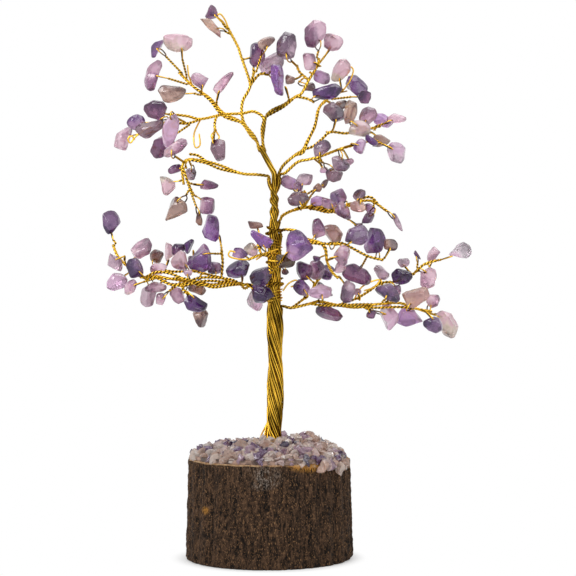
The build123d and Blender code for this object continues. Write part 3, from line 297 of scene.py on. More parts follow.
# Loose single wires and open loops, by the bough that carries them: points as (across, up, front)
LOOSE_ENDS = {
    "leader": [[(-14.4, 190.4, 0), (-15.6, 193.4, 0.6), (-17.4, 195.6, 0.8), (-18.4, 194.6, 0.6), (-16.4, 192.8, 0.3),
                (-14.6, 190.2, 0)]],
    "crown_left": [[(-27.6, 170.4, -5), (-29, 174, -4.4), (-29.4, 177.8, -4)],
                   [(-18.9, 153.2, 3.5), (-20.4, 151.6, 4.2), (-19.4, 149.4, 4.6), (-17.6, 150.8, 4.2),
                    (-18.7, 153, 3.6)]],
    "left_upper": [[(-36, 157.4, -2), (-42, 154.6, 0), (-47.4, 151.8, 0.6), (-49.6, 149.2, 0.8), (-50.6, 150.6, 0.8),
                    (-49.2, 151.7, 0.8), (-48.2, 150.2, 0.8)],
                   [(-24.8, 158.6, -7.5), (-27, 153, -4), (-26.6, 148, -2), (-24.8, 148.6, -2), (-25.2, 152.8, -4)]],
    "right_upper": [[(27, 169, -9), (29.6, 172.6, -8), (30.8, 176.4, -7.4), (29.2, 177.6, -7.4), (28.4, 174.4, -8)]],
    "front": [[(-7, 107, 12.5), (-10.6, 107.2, 13), (-13.8, 108.2, 13.2), (-13.4, 110, 13.2), (-11.6, 109.6, 13)],
              [(3.4, 110.8, 7), (-0.6, 109.4, 10), (-4.2, 107, 12)]],
    "right_low": [[(31.2, 93.2, -4), (33, 96.6, -3), (36, 98.8, -4), (40.2, 100, -6), (38.4, 97.4, -5),
                   (34.6, 96, -4)],
                  [(5.2, 96, 2.6), (7.2, 98.6, 3), (9.8, 99.8, 3.2), (10.6, 98.4, 3), (8, 97.4, 2.8)]],
}


def at(across, up, front):
    """Point of the front elevation in metres."""
    return Vector((across, -front, up)) * MM


def heading(angle):
    """Level direction at an angle round the upright axis."""
    return Vector((math.cos(angle), math.sin(angle), 0))


def clamp(value):
    """A value held between 0 and 1."""
    return min(1.0, max(0.0, value))


def ease(value):
    """0 to 1 with a smooth start and end."""
    value = clamp(value)
    return value * value * (3 - 2 * value)


def screen(red, green, blue):
    """A screen colour of 0 to 255 as a linear colour."""
    linear = []
    for value in (red, green, blue):
        share = value / 255
        linear.append(share / 12.92 if share <= 0.04045 else ((share + 0.055) / 1.055) ** 2.4)
    return (*linear, 1.0)


def length_property(name, description, millimetres):
    """A property for a length."""
    return FloatProperty(name=name, description=description, default=millimetres * MM, unit="LENGTH",
                         precision=5)


def wires_property(name, description, number):
    """A property for a number of wires that are twisted together."""
    return IntProperty(name=name, description=description, default=number, min=2)


def colour_property(name, description, *shade):
    """A property for a colour, from its screen colour."""
    return FloatVectorProperty(name=name, description=description, default=screen(*shade), subtype="COLOR",
                               size=4, min=0, max=1)


class GemTreeSizes(bpy.types.PropertyGroup):
    """Sizes that a user would change."""

    wire: length_property("Wire", "Diameter of the gold wire", 0.46)
    bough_ring: length_property("Bough ring", "Radius at which a bough's wires lie", 0.36)
    bough_lay: length_property("Bough lay", "Length of one turn of a bough's wires", 4.0)
    bough_wires: wires_property("Bough wires", "Wires twisted together in a bough", 3)
    spray_ring: length_property("Spray ring", "Radius at which a spray's wires lie", 0.28)
    spray_lay: length_property("Spray lay", "Length of one turn of a spray's wires", 2.7)
    spray_wires: wires_property("Spray wires", "Wires twisted together in a spray", 2)
    stem_lay: length_property("Stem lay", "Length of one turn of a stone's two wire legs", 2.2)
    strand_ring: length_property("Strand ring", "Radius at which a trunk strand's wires lie", 0.5)
    strand_lay: length_property("Strand lay", "Length of one turn of a trunk strand's wires", 60)
    strand_wires: wires_property("Strand wires", "Wires in one strand of the trunk", 5)
    chip_round: FloatProperty(name="Chip rounding", description="Rounding of a chip's edges as a share of its size",
                              subtype="FACTOR", default=0.05, min=0.0, max=0.3)
    chip_dents: length_property("Chip dents", "Depth of the uneven places on a chip", 0.6)
    gravel_pitch: length_property("Gravel pitch", "Least distance between two bits of gravel", 2.5)
    gravel_size: length_property("Gravel size", "Mean radius of a bit of gravel", 2.0)
    bark_relief: length_property("Bark relief", "Height of the bark's fine ridges", 0.7)


class GemTreeColours(bpy.types.PropertyGroup):
    """Colours that a user would change."""

    # The wire's gold, and the colour of its painted shade, laid on the sides of the wires that face each other where
    # shade falls between them
    gold: colour_property("Gold", "Colour of the clean wire", 242, 194, 68)
    gold_painted_shade: colour_property("Gold in painted shade", "Colour of the wire in its hollows", 58, 36, 3)
    bark: colour_property("Bark", "Colour of the bark's ridges", 96, 72, 54)
    furrow: colour_property("Furrow", "Colour of the bark's furrows", 20, 15, 12)
    rust: colour_property("Rust", "Colour of the bark's rusty specks", 166, 126, 88)
    cut_wood: colour_property("Cut wood", "Colour of sawn wood", 204, 174, 138)


class GemTreeSettings(bpy.types.PropertyGroup):
    """All settings of the ornament."""

    sizes: PointerProperty(type=GemTreeSizes)
    colours: PointerProperty(type=GemTreeColours)


class Output:
    """An output of a node, with the operators that shader and shape maths use."""

    def __init__(self, sheet, socket):
        self.sheet = sheet
        self.socket = socket

    def named(self, name):
        """Another output of the same node."""
        return Output(self.sheet, self.socket.node.outputs[name])

    def __add__(self, other):
        return self.sheet.maths("ADD", self, other)

    __radd__ = __add__

    def __sub__(self, other):
        return self.sheet.maths("SUBTRACT", self, other)

    def __rsub__(self, other):
        return self.sheet.maths("SUBTRACT", other, self)

    def __mul__(self, other):
        return self.sheet.maths("MULTIPLY", self, other)

    __rmul__ = __mul__

    def __truediv__(self, other):
        return self.sheet.maths("DIVIDE", self, other)

    def step(self, low, high):
        """0 below low and 1 above high, with a smooth way between."""
        inputs = {"Value": self, "From Min": low, "From Max": high}
        return self.sheet.add("ShaderNodeMapRange", {"interpolation_type": "SMOOTHSTEP"}, inputs)


class Sheet:
    """A node tree: the one method that adds its nodes, and the nodes that most finishes need."""

    def __init__(self, tree):
        self.tree = tree

    def add(self, kind, settings=None, inputs=None, output=0):
        """Add a node with its settings, then the values or links of its inputs, and give one of its outputs."""
        node = self.tree.nodes.new(kind)
        for name, value in (settings or {}).items():
            if name == "stops":
                self.set_stops(node.color_ramp, value)
            else:
                setattr(node, name, value)
        for name, value in (inputs or {}).items():
            if isinstance(value, Output):
                self.tree.links.new(value.socket, node.inputs[name])
            else:
                node.inputs[name].default_value = value
        return Output(self, node.outputs[output]) if node.outputs else node

    @staticmethod
    def set_stops(ramp, stops):
        """Give a colour ramp its stops, each of which holds up to the next."""
        ramp.interpolation = "CONSTANT"
        while len(ramp.elements) < len(stops):
            ramp.elements.new(1.0)
        for element, (position, colour) in zip(ramp.elements, stops):
            element.position = position
            element.color = colour

    def maths(self, operation, *values):
        """A Math node."""
        return self.add("ShaderNodeMath", {"operation": operation}, dict(enumerate(values)))

    def vector(self, operation, inputs, output=0):
        """A Vector Math node."""
        return self.add("ShaderNodeVectorMath", {"operation": operation}, inputs, output)

    def mix(self, share, first, second):
        """Mix two colours."""
        return self.add("ShaderNodeMix", {"data_type": "RGBA"}, {0: share, 6: first, 7: second}, 2)

    def attribute(self, name, output="Fac"):
        """A value that the piece's mesh carries."""
        return self.add("ShaderNodeAttribute", {"attribute_name": name}, output=output)

    def place(self):
        """The piece's own coordinates."""
        return self.add("ShaderNodeTexCoord", output="Object")

    def noise(self, scale, detail=3.0, stretch=(1, 1, 1), roughness=0.55):
        """Noise over the piece's own coordinates, with this many cells to the metre."""
        stretched = self.add("ShaderNodeMapping", inputs={"Vector": self.place(), "Scale": stretch})
        inputs = {"Vector": stretched, "Scale": scale, "Detail": detail, "Roughness": roughness}
        return self.add("ShaderNodeTexNoise", inputs=inputs)

    def seen(self):
        """1 on rays that show a thing itself: from the camera, off metal and through stone."""
        camera = seen = self.add("ShaderNodeLightPath", output="Is Camera Ray")
        for ray in ("Is Glossy Ray", "Is Transmission Ray"):
            seen = self.maths("MAXIMUM", seen, camera.named(ray))
        return seen

    def skin(self, colour, roughness, bump, others):
        """End a material: its colour, its roughness, its bump as (strength, depth, height) and other sockets."""
        bumped = self.add("ShaderNodeBump", inputs=dict(zip(("Strength", "Distance", "Height"), bump)))
        inputs = {"Base Color": colour, "Roughness": roughness, "Normal": bumped, **others}
        self.end(self.add("ShaderNodeBsdfPrincipled", inputs=inputs))

    def end(self, shader):
        """Join a shader to the material's output."""
        self.add("ShaderNodeOutputMaterial", inputs={"Surface": shader})


def new_material(name):
    """An empty material and the sheet of its nodes."""
    material = bpy.data.materials.new(name)
    material.use_nodes = True
    material.node_tree.nodes.clear()
    return material, Sheet(material.node_tree)


def gold_finish(colours):
    """Bright craft wire: gold, with painted shade on the sides of the wires that face the hollows between them,
    duller in patches and near the trunk.
    """
    material, sheet = new_material(GOLD)
    patches = sheet.noise(170.0, 4.0, (1, 1, 0.5))
    fine = sheet.noise(2600.0, 2.0)
    # Darker within a few millimetres of the trunk's axis, lighter out on the boughs
    level = sheet.vector("MULTIPLY_ADD", {0: sheet.place(), 1: (1.0, 1.0, 0.0), 2: (-2.0 * MM, 0.0, 0.0)})
    away_from_trunk_axis = sheet.vector("LENGTH", {0: level}, "Value").step(2.0 * MM, 9.0 * MM)
    # Painted shade and light: from the painted shade colour on the wires' inner sides to gold on their outer sides,
    # times random dull patches and the darkening near the trunk
    painted_light_and_patches = sheet.attribute("bare").step(0.0, 0.95) * (2.2 * patches - 0.52 + 0.57 * away_from_trunk_axis)
    colour = sheet.mix(painted_light_and_patches.step(0.0, 1.0), colours.gold_painted_shade, colours.gold)
    sheet.skin(colour, 0.16 + 0.16 * fine, (0.12, 0.05 * MM, fine), {
        "Metallic": 1.0, "Specular Tint": (0.5, 0.32, 0.06, 1.0)})
    return material


def gold_of(context):
    """The gold wire's material, made when it is first asked for."""
    return bpy.data.materials.get(GOLD) or gold_finish(context.scene.gem_tree.colours)


def amethyst_finish():
    """Tumbled amethyst: one end of a second tone, clouds, pale healed cracks and a polished skin."""
    material, sheet = new_material("amethyst")
    body, cloud = sheet.attribute("body_tone", "Color"), sheet.attribute("cloud_tone", "Color")
    zone = sheet.attribute("zone")
    clouds = sheet.noise(280.0, 4.0, roughness=0.6)
    cracks = sheet.noise(330.0, 5.0, (1, 0.6, 1.6), 0.6)
    flaws = sheet.noise(1300.0)
    mixed = sheet.mix((zone + 1.4 * clouds).step(1.05, 1.35), body, cloud)
    dark = sheet.mix(0.7, body, (0.02, 0.006, 0.04, 1.0))
    deep = sheet.mix((1.25 - clouds - 0.5 * zone).step(0.45, 0.8) * 0.9, mixed, dark)
    thin = sheet.maths("ABSOLUTE", cracks - 0.5).step(0.03, 0.0)
    cracked = sheet.mix(thin * clouds.step(0.45, 0.7) * 0.3, deep, screen(226, 212, 228))
    flawed = sheet.mix(flaws.step(0.64, 0.76) * 0.22, cracked, dark)
    sheet.skin(flawed, 0.03 + 0.12 * clouds, (0.2, 0.3 * MM, cracks), {
        "IOR": QUARTZ_IOR, "Transmission Weight": QUARTZ_CLEARNESS, "Coat Weight": 0.2, "Coat Roughness": 0.04})
    return material


def gravel_finish():
    """Bits of quartz: white and clear, beige-pink, lilac and a few deep violet ones."""
    material, sheet = new_material("quartz_gravel")
    stops = [(0.0, screen(250, 232, 220)), (0.3, screen(222, 190, 172)), (0.48, screen(240, 214, 208)),
             (0.62, screen(196, 162, 182)), (0.8, screen(136, 100, 144)), (0.93, screen(58, 30, 84))]
    tone = sheet.add("ShaderNodeValToRGB", {"stops": stops}, {"Fac": sheet.attribute("tint")})
    clouds = sheet.noise(700.0, 4.0)
    veined = sheet.mix(clouds.step(0.5, 0.7) * 0.5, tone, screen(246, 234, 232))
    colour = sheet.mix(clouds.step(0.46, 0.3) * 0.5, veined, screen(104, 72, 92))
    sheet.skin(colour, 0.02 + 0.12 * clouds, (0.2, 0.2 * MM, clouds), {
        "IOR": QUARTZ_IOR, "Transmission Weight": QUARTZ_CLEARNESS})
    return material


def glue_finish():
    """Glue between the bits of gravel: brown in its depths and milky on its lumps."""
    material, sheet = new_material("clear_glue")
    lumps = sheet.noise(420.0, 4.0)
    colour = sheet.mix(lumps.step(0.4, 0.7), screen(66, 46, 38), screen(170, 138, 120))
    sheet.skin(colour, 0.1 + 0.2 * lumps, (0.6, 1.0 * MM, lumps), {})
    return material


def bark_finish(colours):
    """Dry bark: dark furrows, grey-brown ridges, rusty specks, dust, scuffs, resin, and sawn wood on the rim."""
    material, sheet = new_material("bark")
    relief, cut, resin, scuff = (sheet.attribute(name) for name in ("relief", "cut", "resin", "scuff"))
    grain = sheet.noise(1500.0, 5.0, (1, 1, 0.4), 0.75)
    specks = sheet.noise(2600.0, 2.0, (1, 1, 0.6))
    patches = sheet.noise(110.0, 4.0, (1, 1, 0.6))
    ridges = sheet.mix((0.5 * relief + 1.6 * grain).step(0.82, 1.42), colours.furrow, colours.bark)
    rusty = sheet.mix(specks.step(0.56, 0.72) * (0.4 + 0.6 * patches), ridges, colours.rust)
    dust = grain.step(0.58, 0.8) * patches.step(0.62, 0.4) * 0.55
    dusty = sheet.mix(dust, rusty, screen(128, 118, 110))
    scratches = scuff * patches.step(0.36, 0.62) * (0.6 * grain + 0.4 * specks).step(0.48, 0.58)
    scuffed = sheet.mix(scratches, dusty, screen(158, 148, 138))
    sawn = sheet.mix(grain.step(0.35, 0.65), colours.cut_wood, screen(150, 108, 70))
    edged = sheet.mix((cut + 0.5 * grain).step(0.55, 0.9), scuffed, sawn)
    colour = sheet.mix(resin * (0.5 * specks + 0.5 * grain).step(0.4, 0.58), edged, screen(196, 138, 62))
    sheet.skin(colour, 0.66 + 0.24 * grain, (0.8, 0.9 * MM, grain), {"Specular IOR Level": 0.12})
    return material


def sawn_wood_finish(colours):
    """Sawn end grain with growth rings."""
    material, sheet = new_material("sawn_wood")
    rings = sheet.add("ShaderNodeTexWave", {"wave_type": "RINGS", "rings_direction": "Z"}, {
        "Vector": sheet.place(), "Scale": 130.0, "Distortion": 3.0, "Detail": 3.0, "Detail Scale": 0.6}, "Fac")
    grain = sheet.noise(1200.0, 4.0)
    colour = sheet.mix(rings * 0.6 + grain * 0.3, colours.cut_wood, screen(150, 112, 74))
    sheet.skin(colour, 0.65 + 0.2 * grain, (0.3, 0.3 * MM, grain), {})
    return material


def new_tree(name, inputs):
    """An empty Geometry Nodes tree with named inputs: its sheet and the output of its group input."""
    tree = bpy.data.node_groups.new(name, "GeometryNodeTree")
    tree.interface.new_socket("Geometry", in_out="INPUT", socket_type="NodeSocketGeometry")
    for label, kind in inputs.items():
        tree.interface.new_socket(label, in_out="INPUT", socket_type=f"NodeSocket{kind}")
    tree.interface.new_socket("Geometry", in_out="OUTPUT", socket_type="NodeSocketGeometry")
    sheet = Sheet(tree)
    return sheet, sheet.add("NodeGroupInput")


def end_tree(sheet, geometry, material):
    """End a tree: instances made real, material set."""
    real = sheet.add("GeometryNodeRealizeInstances", inputs={"Geometry": geometry})
    dressed = sheet.add("GeometryNodeSetMaterial", inputs={"Geometry": real, "Material": material})
    sheet.add("NodeGroupOutput", inputs={"Geometry": dressed})
    return sheet.tree


def wires_tree():
    """Twisted wires along paths: each path tells its number of wires, their ring and their lay; each wire also
    carries a value for its painted shade.
    """
    name = "twisted_wires"
    if name in bpy.data.node_groups:
        return bpy.data.node_groups[name]
    sheet, given = new_tree(name, {"Wire": "Float", "Step": "Float", "Sides": "Int", "Material": "Material"})

    def told(name, kind="FLOAT"):
        return sheet.add("GeometryNodeInputNamedAttribute", {"data_type": kind}, {"Name": name})

    def stored(geometry, name, value, kind="FLOAT"):
        return sheet.add("GeometryNodeStoreNamedAttribute", {"data_type": kind, "domain": "POINT"}, {
            "Geometry": geometry, "Name": name, "Value": value})

    curve = sheet.add("GeometryNodeMeshToCurve", inputs={"Mesh": given.named("Geometry")})
    smooth = sheet.add("GeometryNodeCurveSplineType", {"spline_type": "CATMULL_ROM"}, {"Curve": curve})
    even = sheet.add("GeometryNodeResampleCurve", {"mode": "LENGTH"}, {
        "Curve": smooth, "Length": given.named("Step")})
    copies = sheet.add("GeometryNodeDuplicateElements", {"domain": "SPLINE"}, {
        "Geometry": even, "Amount": told("wires") + 0.5})
    along = sheet.add("GeometryNodeSplineParameter", output="Length")
    turn = copies.named("Duplicate Index") / told("wires") + along / told("lay")
    normal = sheet.add("GeometryNodeInputNormal")
    twisted = sheet.add("ShaderNodeVectorRotate", {"rotation_type": "AXIS_ANGLE"}, {
        "Vector": normal, "Axis": sheet.add("GeometryNodeInputTangent"), "Angle": turn * (2 * math.pi)})
    many = sheet.maths("GREATER_THAN", told("wires"), 1.5)
    outward = sheet.vector("ADD", {
        0: sheet.vector("SCALE", {0: twisted, "Scale": many}), 1: told("side", "FLOAT_VECTOR")})
    marked = stored(copies, "outward", outward, "FLOAT_VECTOR")
    kept = told("outward", "FLOAT_VECTOR")
    offset = sheet.vector("SCALE", {0: kept, "Scale": told("ring")})
    laid = sheet.add("GeometryNodeSetPosition", inputs={"Geometry": marked, "Offset": offset})
    section = sheet.add("GeometryNodeCurvePrimitiveCircle", {"mode": "RADIUS"}, {
        "Resolution": given.named("Sides"), "Radius": given.named("Wire") / 2})
    tubes = sheet.add("GeometryNodeCurveToMesh", inputs={
        "Curve": laid, "Profile Curve": section, "Fill Caps": True})
    shaded = sheet.add("GeometryNodeSetShadeSmooth", inputs={"Geometry": tubes})
    # Painted shade: a wire's side that faces the rope's axis, or its twin, gets a low value and is painted dark; a
    # wire with no way given gets 0.9
    facing = sheet.vector("DOT_PRODUCT", {0: normal, 1: kept}, "Value")
    alone = 0.9 - 0.9 * sheet.vector("LENGTH", {0: kept}, "Value")
    return end_tree(sheet, stored(shaded, "bare", facing + alone), given.named("Material"))


def gravel_tree():
    """Bits of gravel over a bed: each with its own size, turn, shape and tint, and pale ones over the rim."""
    sheet, given = new_tree("gravel_bits", {"Pitch": "Float", "Size": "Float", "Seed": "Int", "Material": "Material"})
    # First input and output of a Random Value node, by what it draws
    sockets = {"FLOAT_VECTOR": (0, 0), "FLOAT": (2, 1)}

    def drawn(low, high, salt, kind="FLOAT_VECTOR"):
        first, output = sockets[kind]
        inputs = {first: low, first + 1: high, "Seed": given.named("Seed") + salt}
        return sheet.add("FunctionNodeRandomValue", {"data_type": kind}, inputs, output)

    spots = sheet.add("GeometryNodeDistributePointsOnFaces", {"distribute_method": "POISSON"}, {
        "Mesh": given.named("Geometry"), "Distance Min": given.named("Pitch"), "Density Max": 900000.0,
        "Seed": given.named("Seed")})
    bit = sheet.add("GeometryNodeMeshIcoSphere", inputs={"Radius": given.named("Size"), "Subdivisions": 2})
    bits = sheet.add("GeometryNodeInstanceOnPoints", inputs={
        "Points": spots, "Instance": bit, "Rotation": drawn((0.0, 0.0, 0.0), (6.28, 6.28, 6.28), 1),
        "Scale": drawn((0.45, 0.45, 0.4), (1.4, 1.2, 1.0), 2)})
    up = sheet.add("ShaderNodeSeparateXYZ", inputs={0: sheet.add("GeometryNodeInputPosition")}, output="Z")
    tint = drawn(0.0, 1.0, 3, "FLOAT") * (0.6 + 0.4 * up.step(34.5 * MM, 36.5 * MM))
    tinted = sheet.add("GeometryNodeStoreNamedAttribute", {"data_type": "FLOAT", "domain": "INSTANCE"}, {
        "Geometry": bits, "Name": "tint", "Value": tint})
    real = sheet.add("GeometryNodeRealizeInstances", inputs={"Geometry": tinted})
    rough = sheet.add("ShaderNodeTexNoise", inputs={"Scale": 560.0, "Detail": 1.5}, output="Color")
    uneven = sheet.vector("SUBTRACT", {0: rough, 1: (0.5, 0.5, 0.5)})
    moved = sheet.vector("SCALE", {0: uneven, "Scale": given.named("Size") * 1.9})
    broken = sheet.add("GeometryNodeSetPosition", inputs={"Geometry": real, "Offset": moved})
    flat = sheet.add("GeometryNodeSetShadeSmooth", inputs={"Geometry": broken, "Shade Smooth": False})
    return end_tree(sheet, flat, given.named("Material"))


def grown(name, mesh, tree, inputs):
    """Run a Geometry Nodes tree over a mesh and keep the result as a plain object."""
    base = bpy.data.objects.new(name + "_paths", mesh)
    bpy.context.scene.collection.objects.link(base)
    modifier = base.modifiers.new("shape", "NODES")
    modifier.node_group = tree
    for item in tree.interface.items_tree:
        if item.in_out == "INPUT" and item.name in inputs:
            modifier[item.identifier] = inputs[item.name]
    graph = bpy.context.evaluated_depsgraph_get()
    made = bpy.data.meshes.new_from_object(base.evaluated_get(graph))
    if not made.polygons:
        raise RuntimeError(f"{name} came out empty")
    base.modifiers.remove(modifier)
    bpy.data.objects.remove(base)
    return new_piece(name, made)


def new_piece(name, mesh):
    """A linked object of a finished mesh."""
    mesh.name = name
    piece = bpy.data.objects.new(name, mesh)
    bpy.context.scene.collection.objects.link(piece)
    return piece


def tell(mesh, values):
    """Give a mesh its named values, one for each point."""
    for name, column in values.items():
        mesh.attributes.new(name, "FLOAT", "POINT").data.foreach_set("value", column)


def refinish(node, finish):
    """Give a CAD node that stays its own material."""
    materials = frame["nodes"][node].data.materials
    materials.clear()
    materials.append(finish)


def wire_piece(context, name, paths, step, sides=8, thickness=1.0):
    """Wires along paths of (points, wires, ring, lay) and, for single wires, the ways that face away from a twin,
    which keep the side towards the twin in painted shade.
    """
    vertices, edges, told, sides_out = [], [], {"wires": [], "ring": [], "lay": []}, []
    for points, wires, ring, lay, *facing in paths:
        start = len(vertices)
        vertices += [tuple(point) for point in points]
        edges += [(start + index, start + index + 1) for index in range(len(points) - 1)]
        told["wires"] += [wires] * len(points)
        told["ring"] += ring if isinstance(ring, list) else [ring] * len(points)
        told["lay"] += [lay] * len(points)
        for way in facing[0] if facing else [Vector()] * len(points):
            sides_out += tuple(way)
    mesh = bpy.data.meshes.new(name)
    mesh.from_pydata(vertices, edges, [])
    tell(mesh, told)
    mesh.attributes.new("side", "FLOAT_VECTOR", "POINT").data.foreach_set("vector", sides_out)
    return grown(name, mesh, wires_tree(), {
        "Wire": context.scene.gem_tree.sizes.wire * thickness, "Step": step, "Sides": sides,
        "Material": gold_of(context)})


def settle(piece, body, slot, *nodes):
    """Hang a piece on its body and hide the CAD nodes that it stands for; the slot is not used."""
    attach(piece, body)
    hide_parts(*nodes)


def trunk_axis(up):
    """Centre of the trunk at a height."""
    (low_x, low_z), (high_x, high_z) = TRUNK_AXIS[:2] if up <= TRUNK_AXIS[1][1] else TRUNK_AXIS[1:]
    return at(low_x + (high_x - low_x) * (up - low_z) / (high_z - low_z), up, 0)


def strand_angle(index):
    """Angle at which an outer strand starts at the foot."""
    return FIRST_STRAND_ANGLE + 360 * index / OUTER_STRANDS


def strand_point(angle, ring, flare, up, exit_up):
    """Point of a strand that winds round the trunk like a left-hand screw and thins out the trunk as it rises."""
    foot = TRUNK_AXIS[0][1]
    leaving = ease((up - exit_up + LEAVING_LENGTH) / LEAVING_LENGTH)
    turn = angle - 360 * (up - foot) / STRAND_LAY
    if exit_up > TIGHT_TWIST[1]:
        turn -= 360 * ease((up - TIGHT_TWIST[0]) / (TIGHT_TWIST[1] - TIGHT_TWIST[0]))
    turn = math.radians(turn)
    rise = clamp(1 - (up - foot) / FOOT_FLARE_HEIGHT)
    thin = 1 - sum(share * ease((up - start) / (end - start)) for start, end, share in THINNING)
    bulge = 1 + BULGE * math.cos(2 * math.radians(angle) + BULGE_START)
    upward = (trunk_axis(up + STRAND_STEP) - trunk_axis(up - STRAND_STEP)).normalized()
    sideways = Vector((upward.z, 0, -upward.x))
    out = sideways * math.cos(turn) + Vector((0, math.sin(turn), 0))
    spread = flare * rise * rise * (1 - FOOT_LEAN * out.x)
    radius = ring * (1 + (thin * bulge - 1) * (1 - leaving)) + spread
    return trunk_axis(up) + out * radius * MM


def strand_line(angle, ring, flare, bottom, top, exit_up):
    """Points of a strand between two heights."""
    steps = max(2, round((top - bottom) / STRAND_STEP))
    heights = [bottom + (top - bottom) * index / steps for index in range(steps + 1)]
    return [strand_point(angle, ring, flare, up, exit_up) for up in heights]


def bough_root(bough):
    """Where a bough's hinge is."""
    for joint in frame["joints"]:
        if joint["child"] == bough:
            return Vector(joint["pos_m"])
    raise RuntimeError(f"no joint carries {bough}")


def bough_tail(bough):
    """Points inside the trunk from which a bough's wires come up to its root."""
    if bough in OUTER_STRAND_EXITS:
        angle = strand_angle(list(OUTER_STRAND_EXITS).index(bough))
        top = OUTER_STRAND_EXITS[bough]
        return strand_line(angle, OUTER_RING, FOOT_FLARE, top - BOUGH_TAIL, top, top)
    fork = TRUNK_AXIS[-1][1]
    towards = bough_root(bough) - trunk_axis(fork)
    across = Vector((towards.x, towards.y, 0))
    return [trunk_axis(fork - BOUGH_TAIL) + across, trunk_axis(fork - BOUGH_TAIL / 2) + across]


def bough_lines(bough):
    """Lines of a bough's routes in metres, the first from its root."""
    lines = [[at(*row) for row in route] for route in ROUTES[bough]]
    lines[0].insert(0, bough_root(bough))
    return lines


def nearest_on(lines, point):
    """Nearest point of some lines to a point, and the start of its run."""
    best = None
    for line in lines:
        for a, b in zip(line, line[1:]):
            share = intersect_point_line(point, a, b)[1]
            spot = a.lerp(b, clamp(share))
            distance = (spot - point).length
            if best is None or distance < best[0]:
                best = (distance, spot, a)
    return best[1:]


def islands(node):
    """Separate solids of a CAD node, each as an array of its merged points."""
    mesh = frame["nodes"][node].data
    points = np.empty(len(mesh.vertices) * 3)
    mesh.vertices.foreach_get("co", points)
    mesh.calc_loop_triangles()
    corners = np.empty(len(mesh.loop_triangles) * 3, dtype=np.int32)
    mesh.loop_triangles.foreach_get("vertices", corners)
    places, index = np.unique(np.round(points.reshape(-1, 3), 7), axis=0, return_inverse=True)
    label = np.arange(len(places))
    triangles = index.ravel()[corners.reshape(-1, 3)]
    while True:
        lowest = label[triangles].min(axis=1)
        before = label.copy()
        for corner in range(3):
            np.minimum.at(label, triangles[:, corner], lowest)
        label = label[label]
        if (label == before).all():
            break
    return [places[label == value] for value in np.unique(label)]


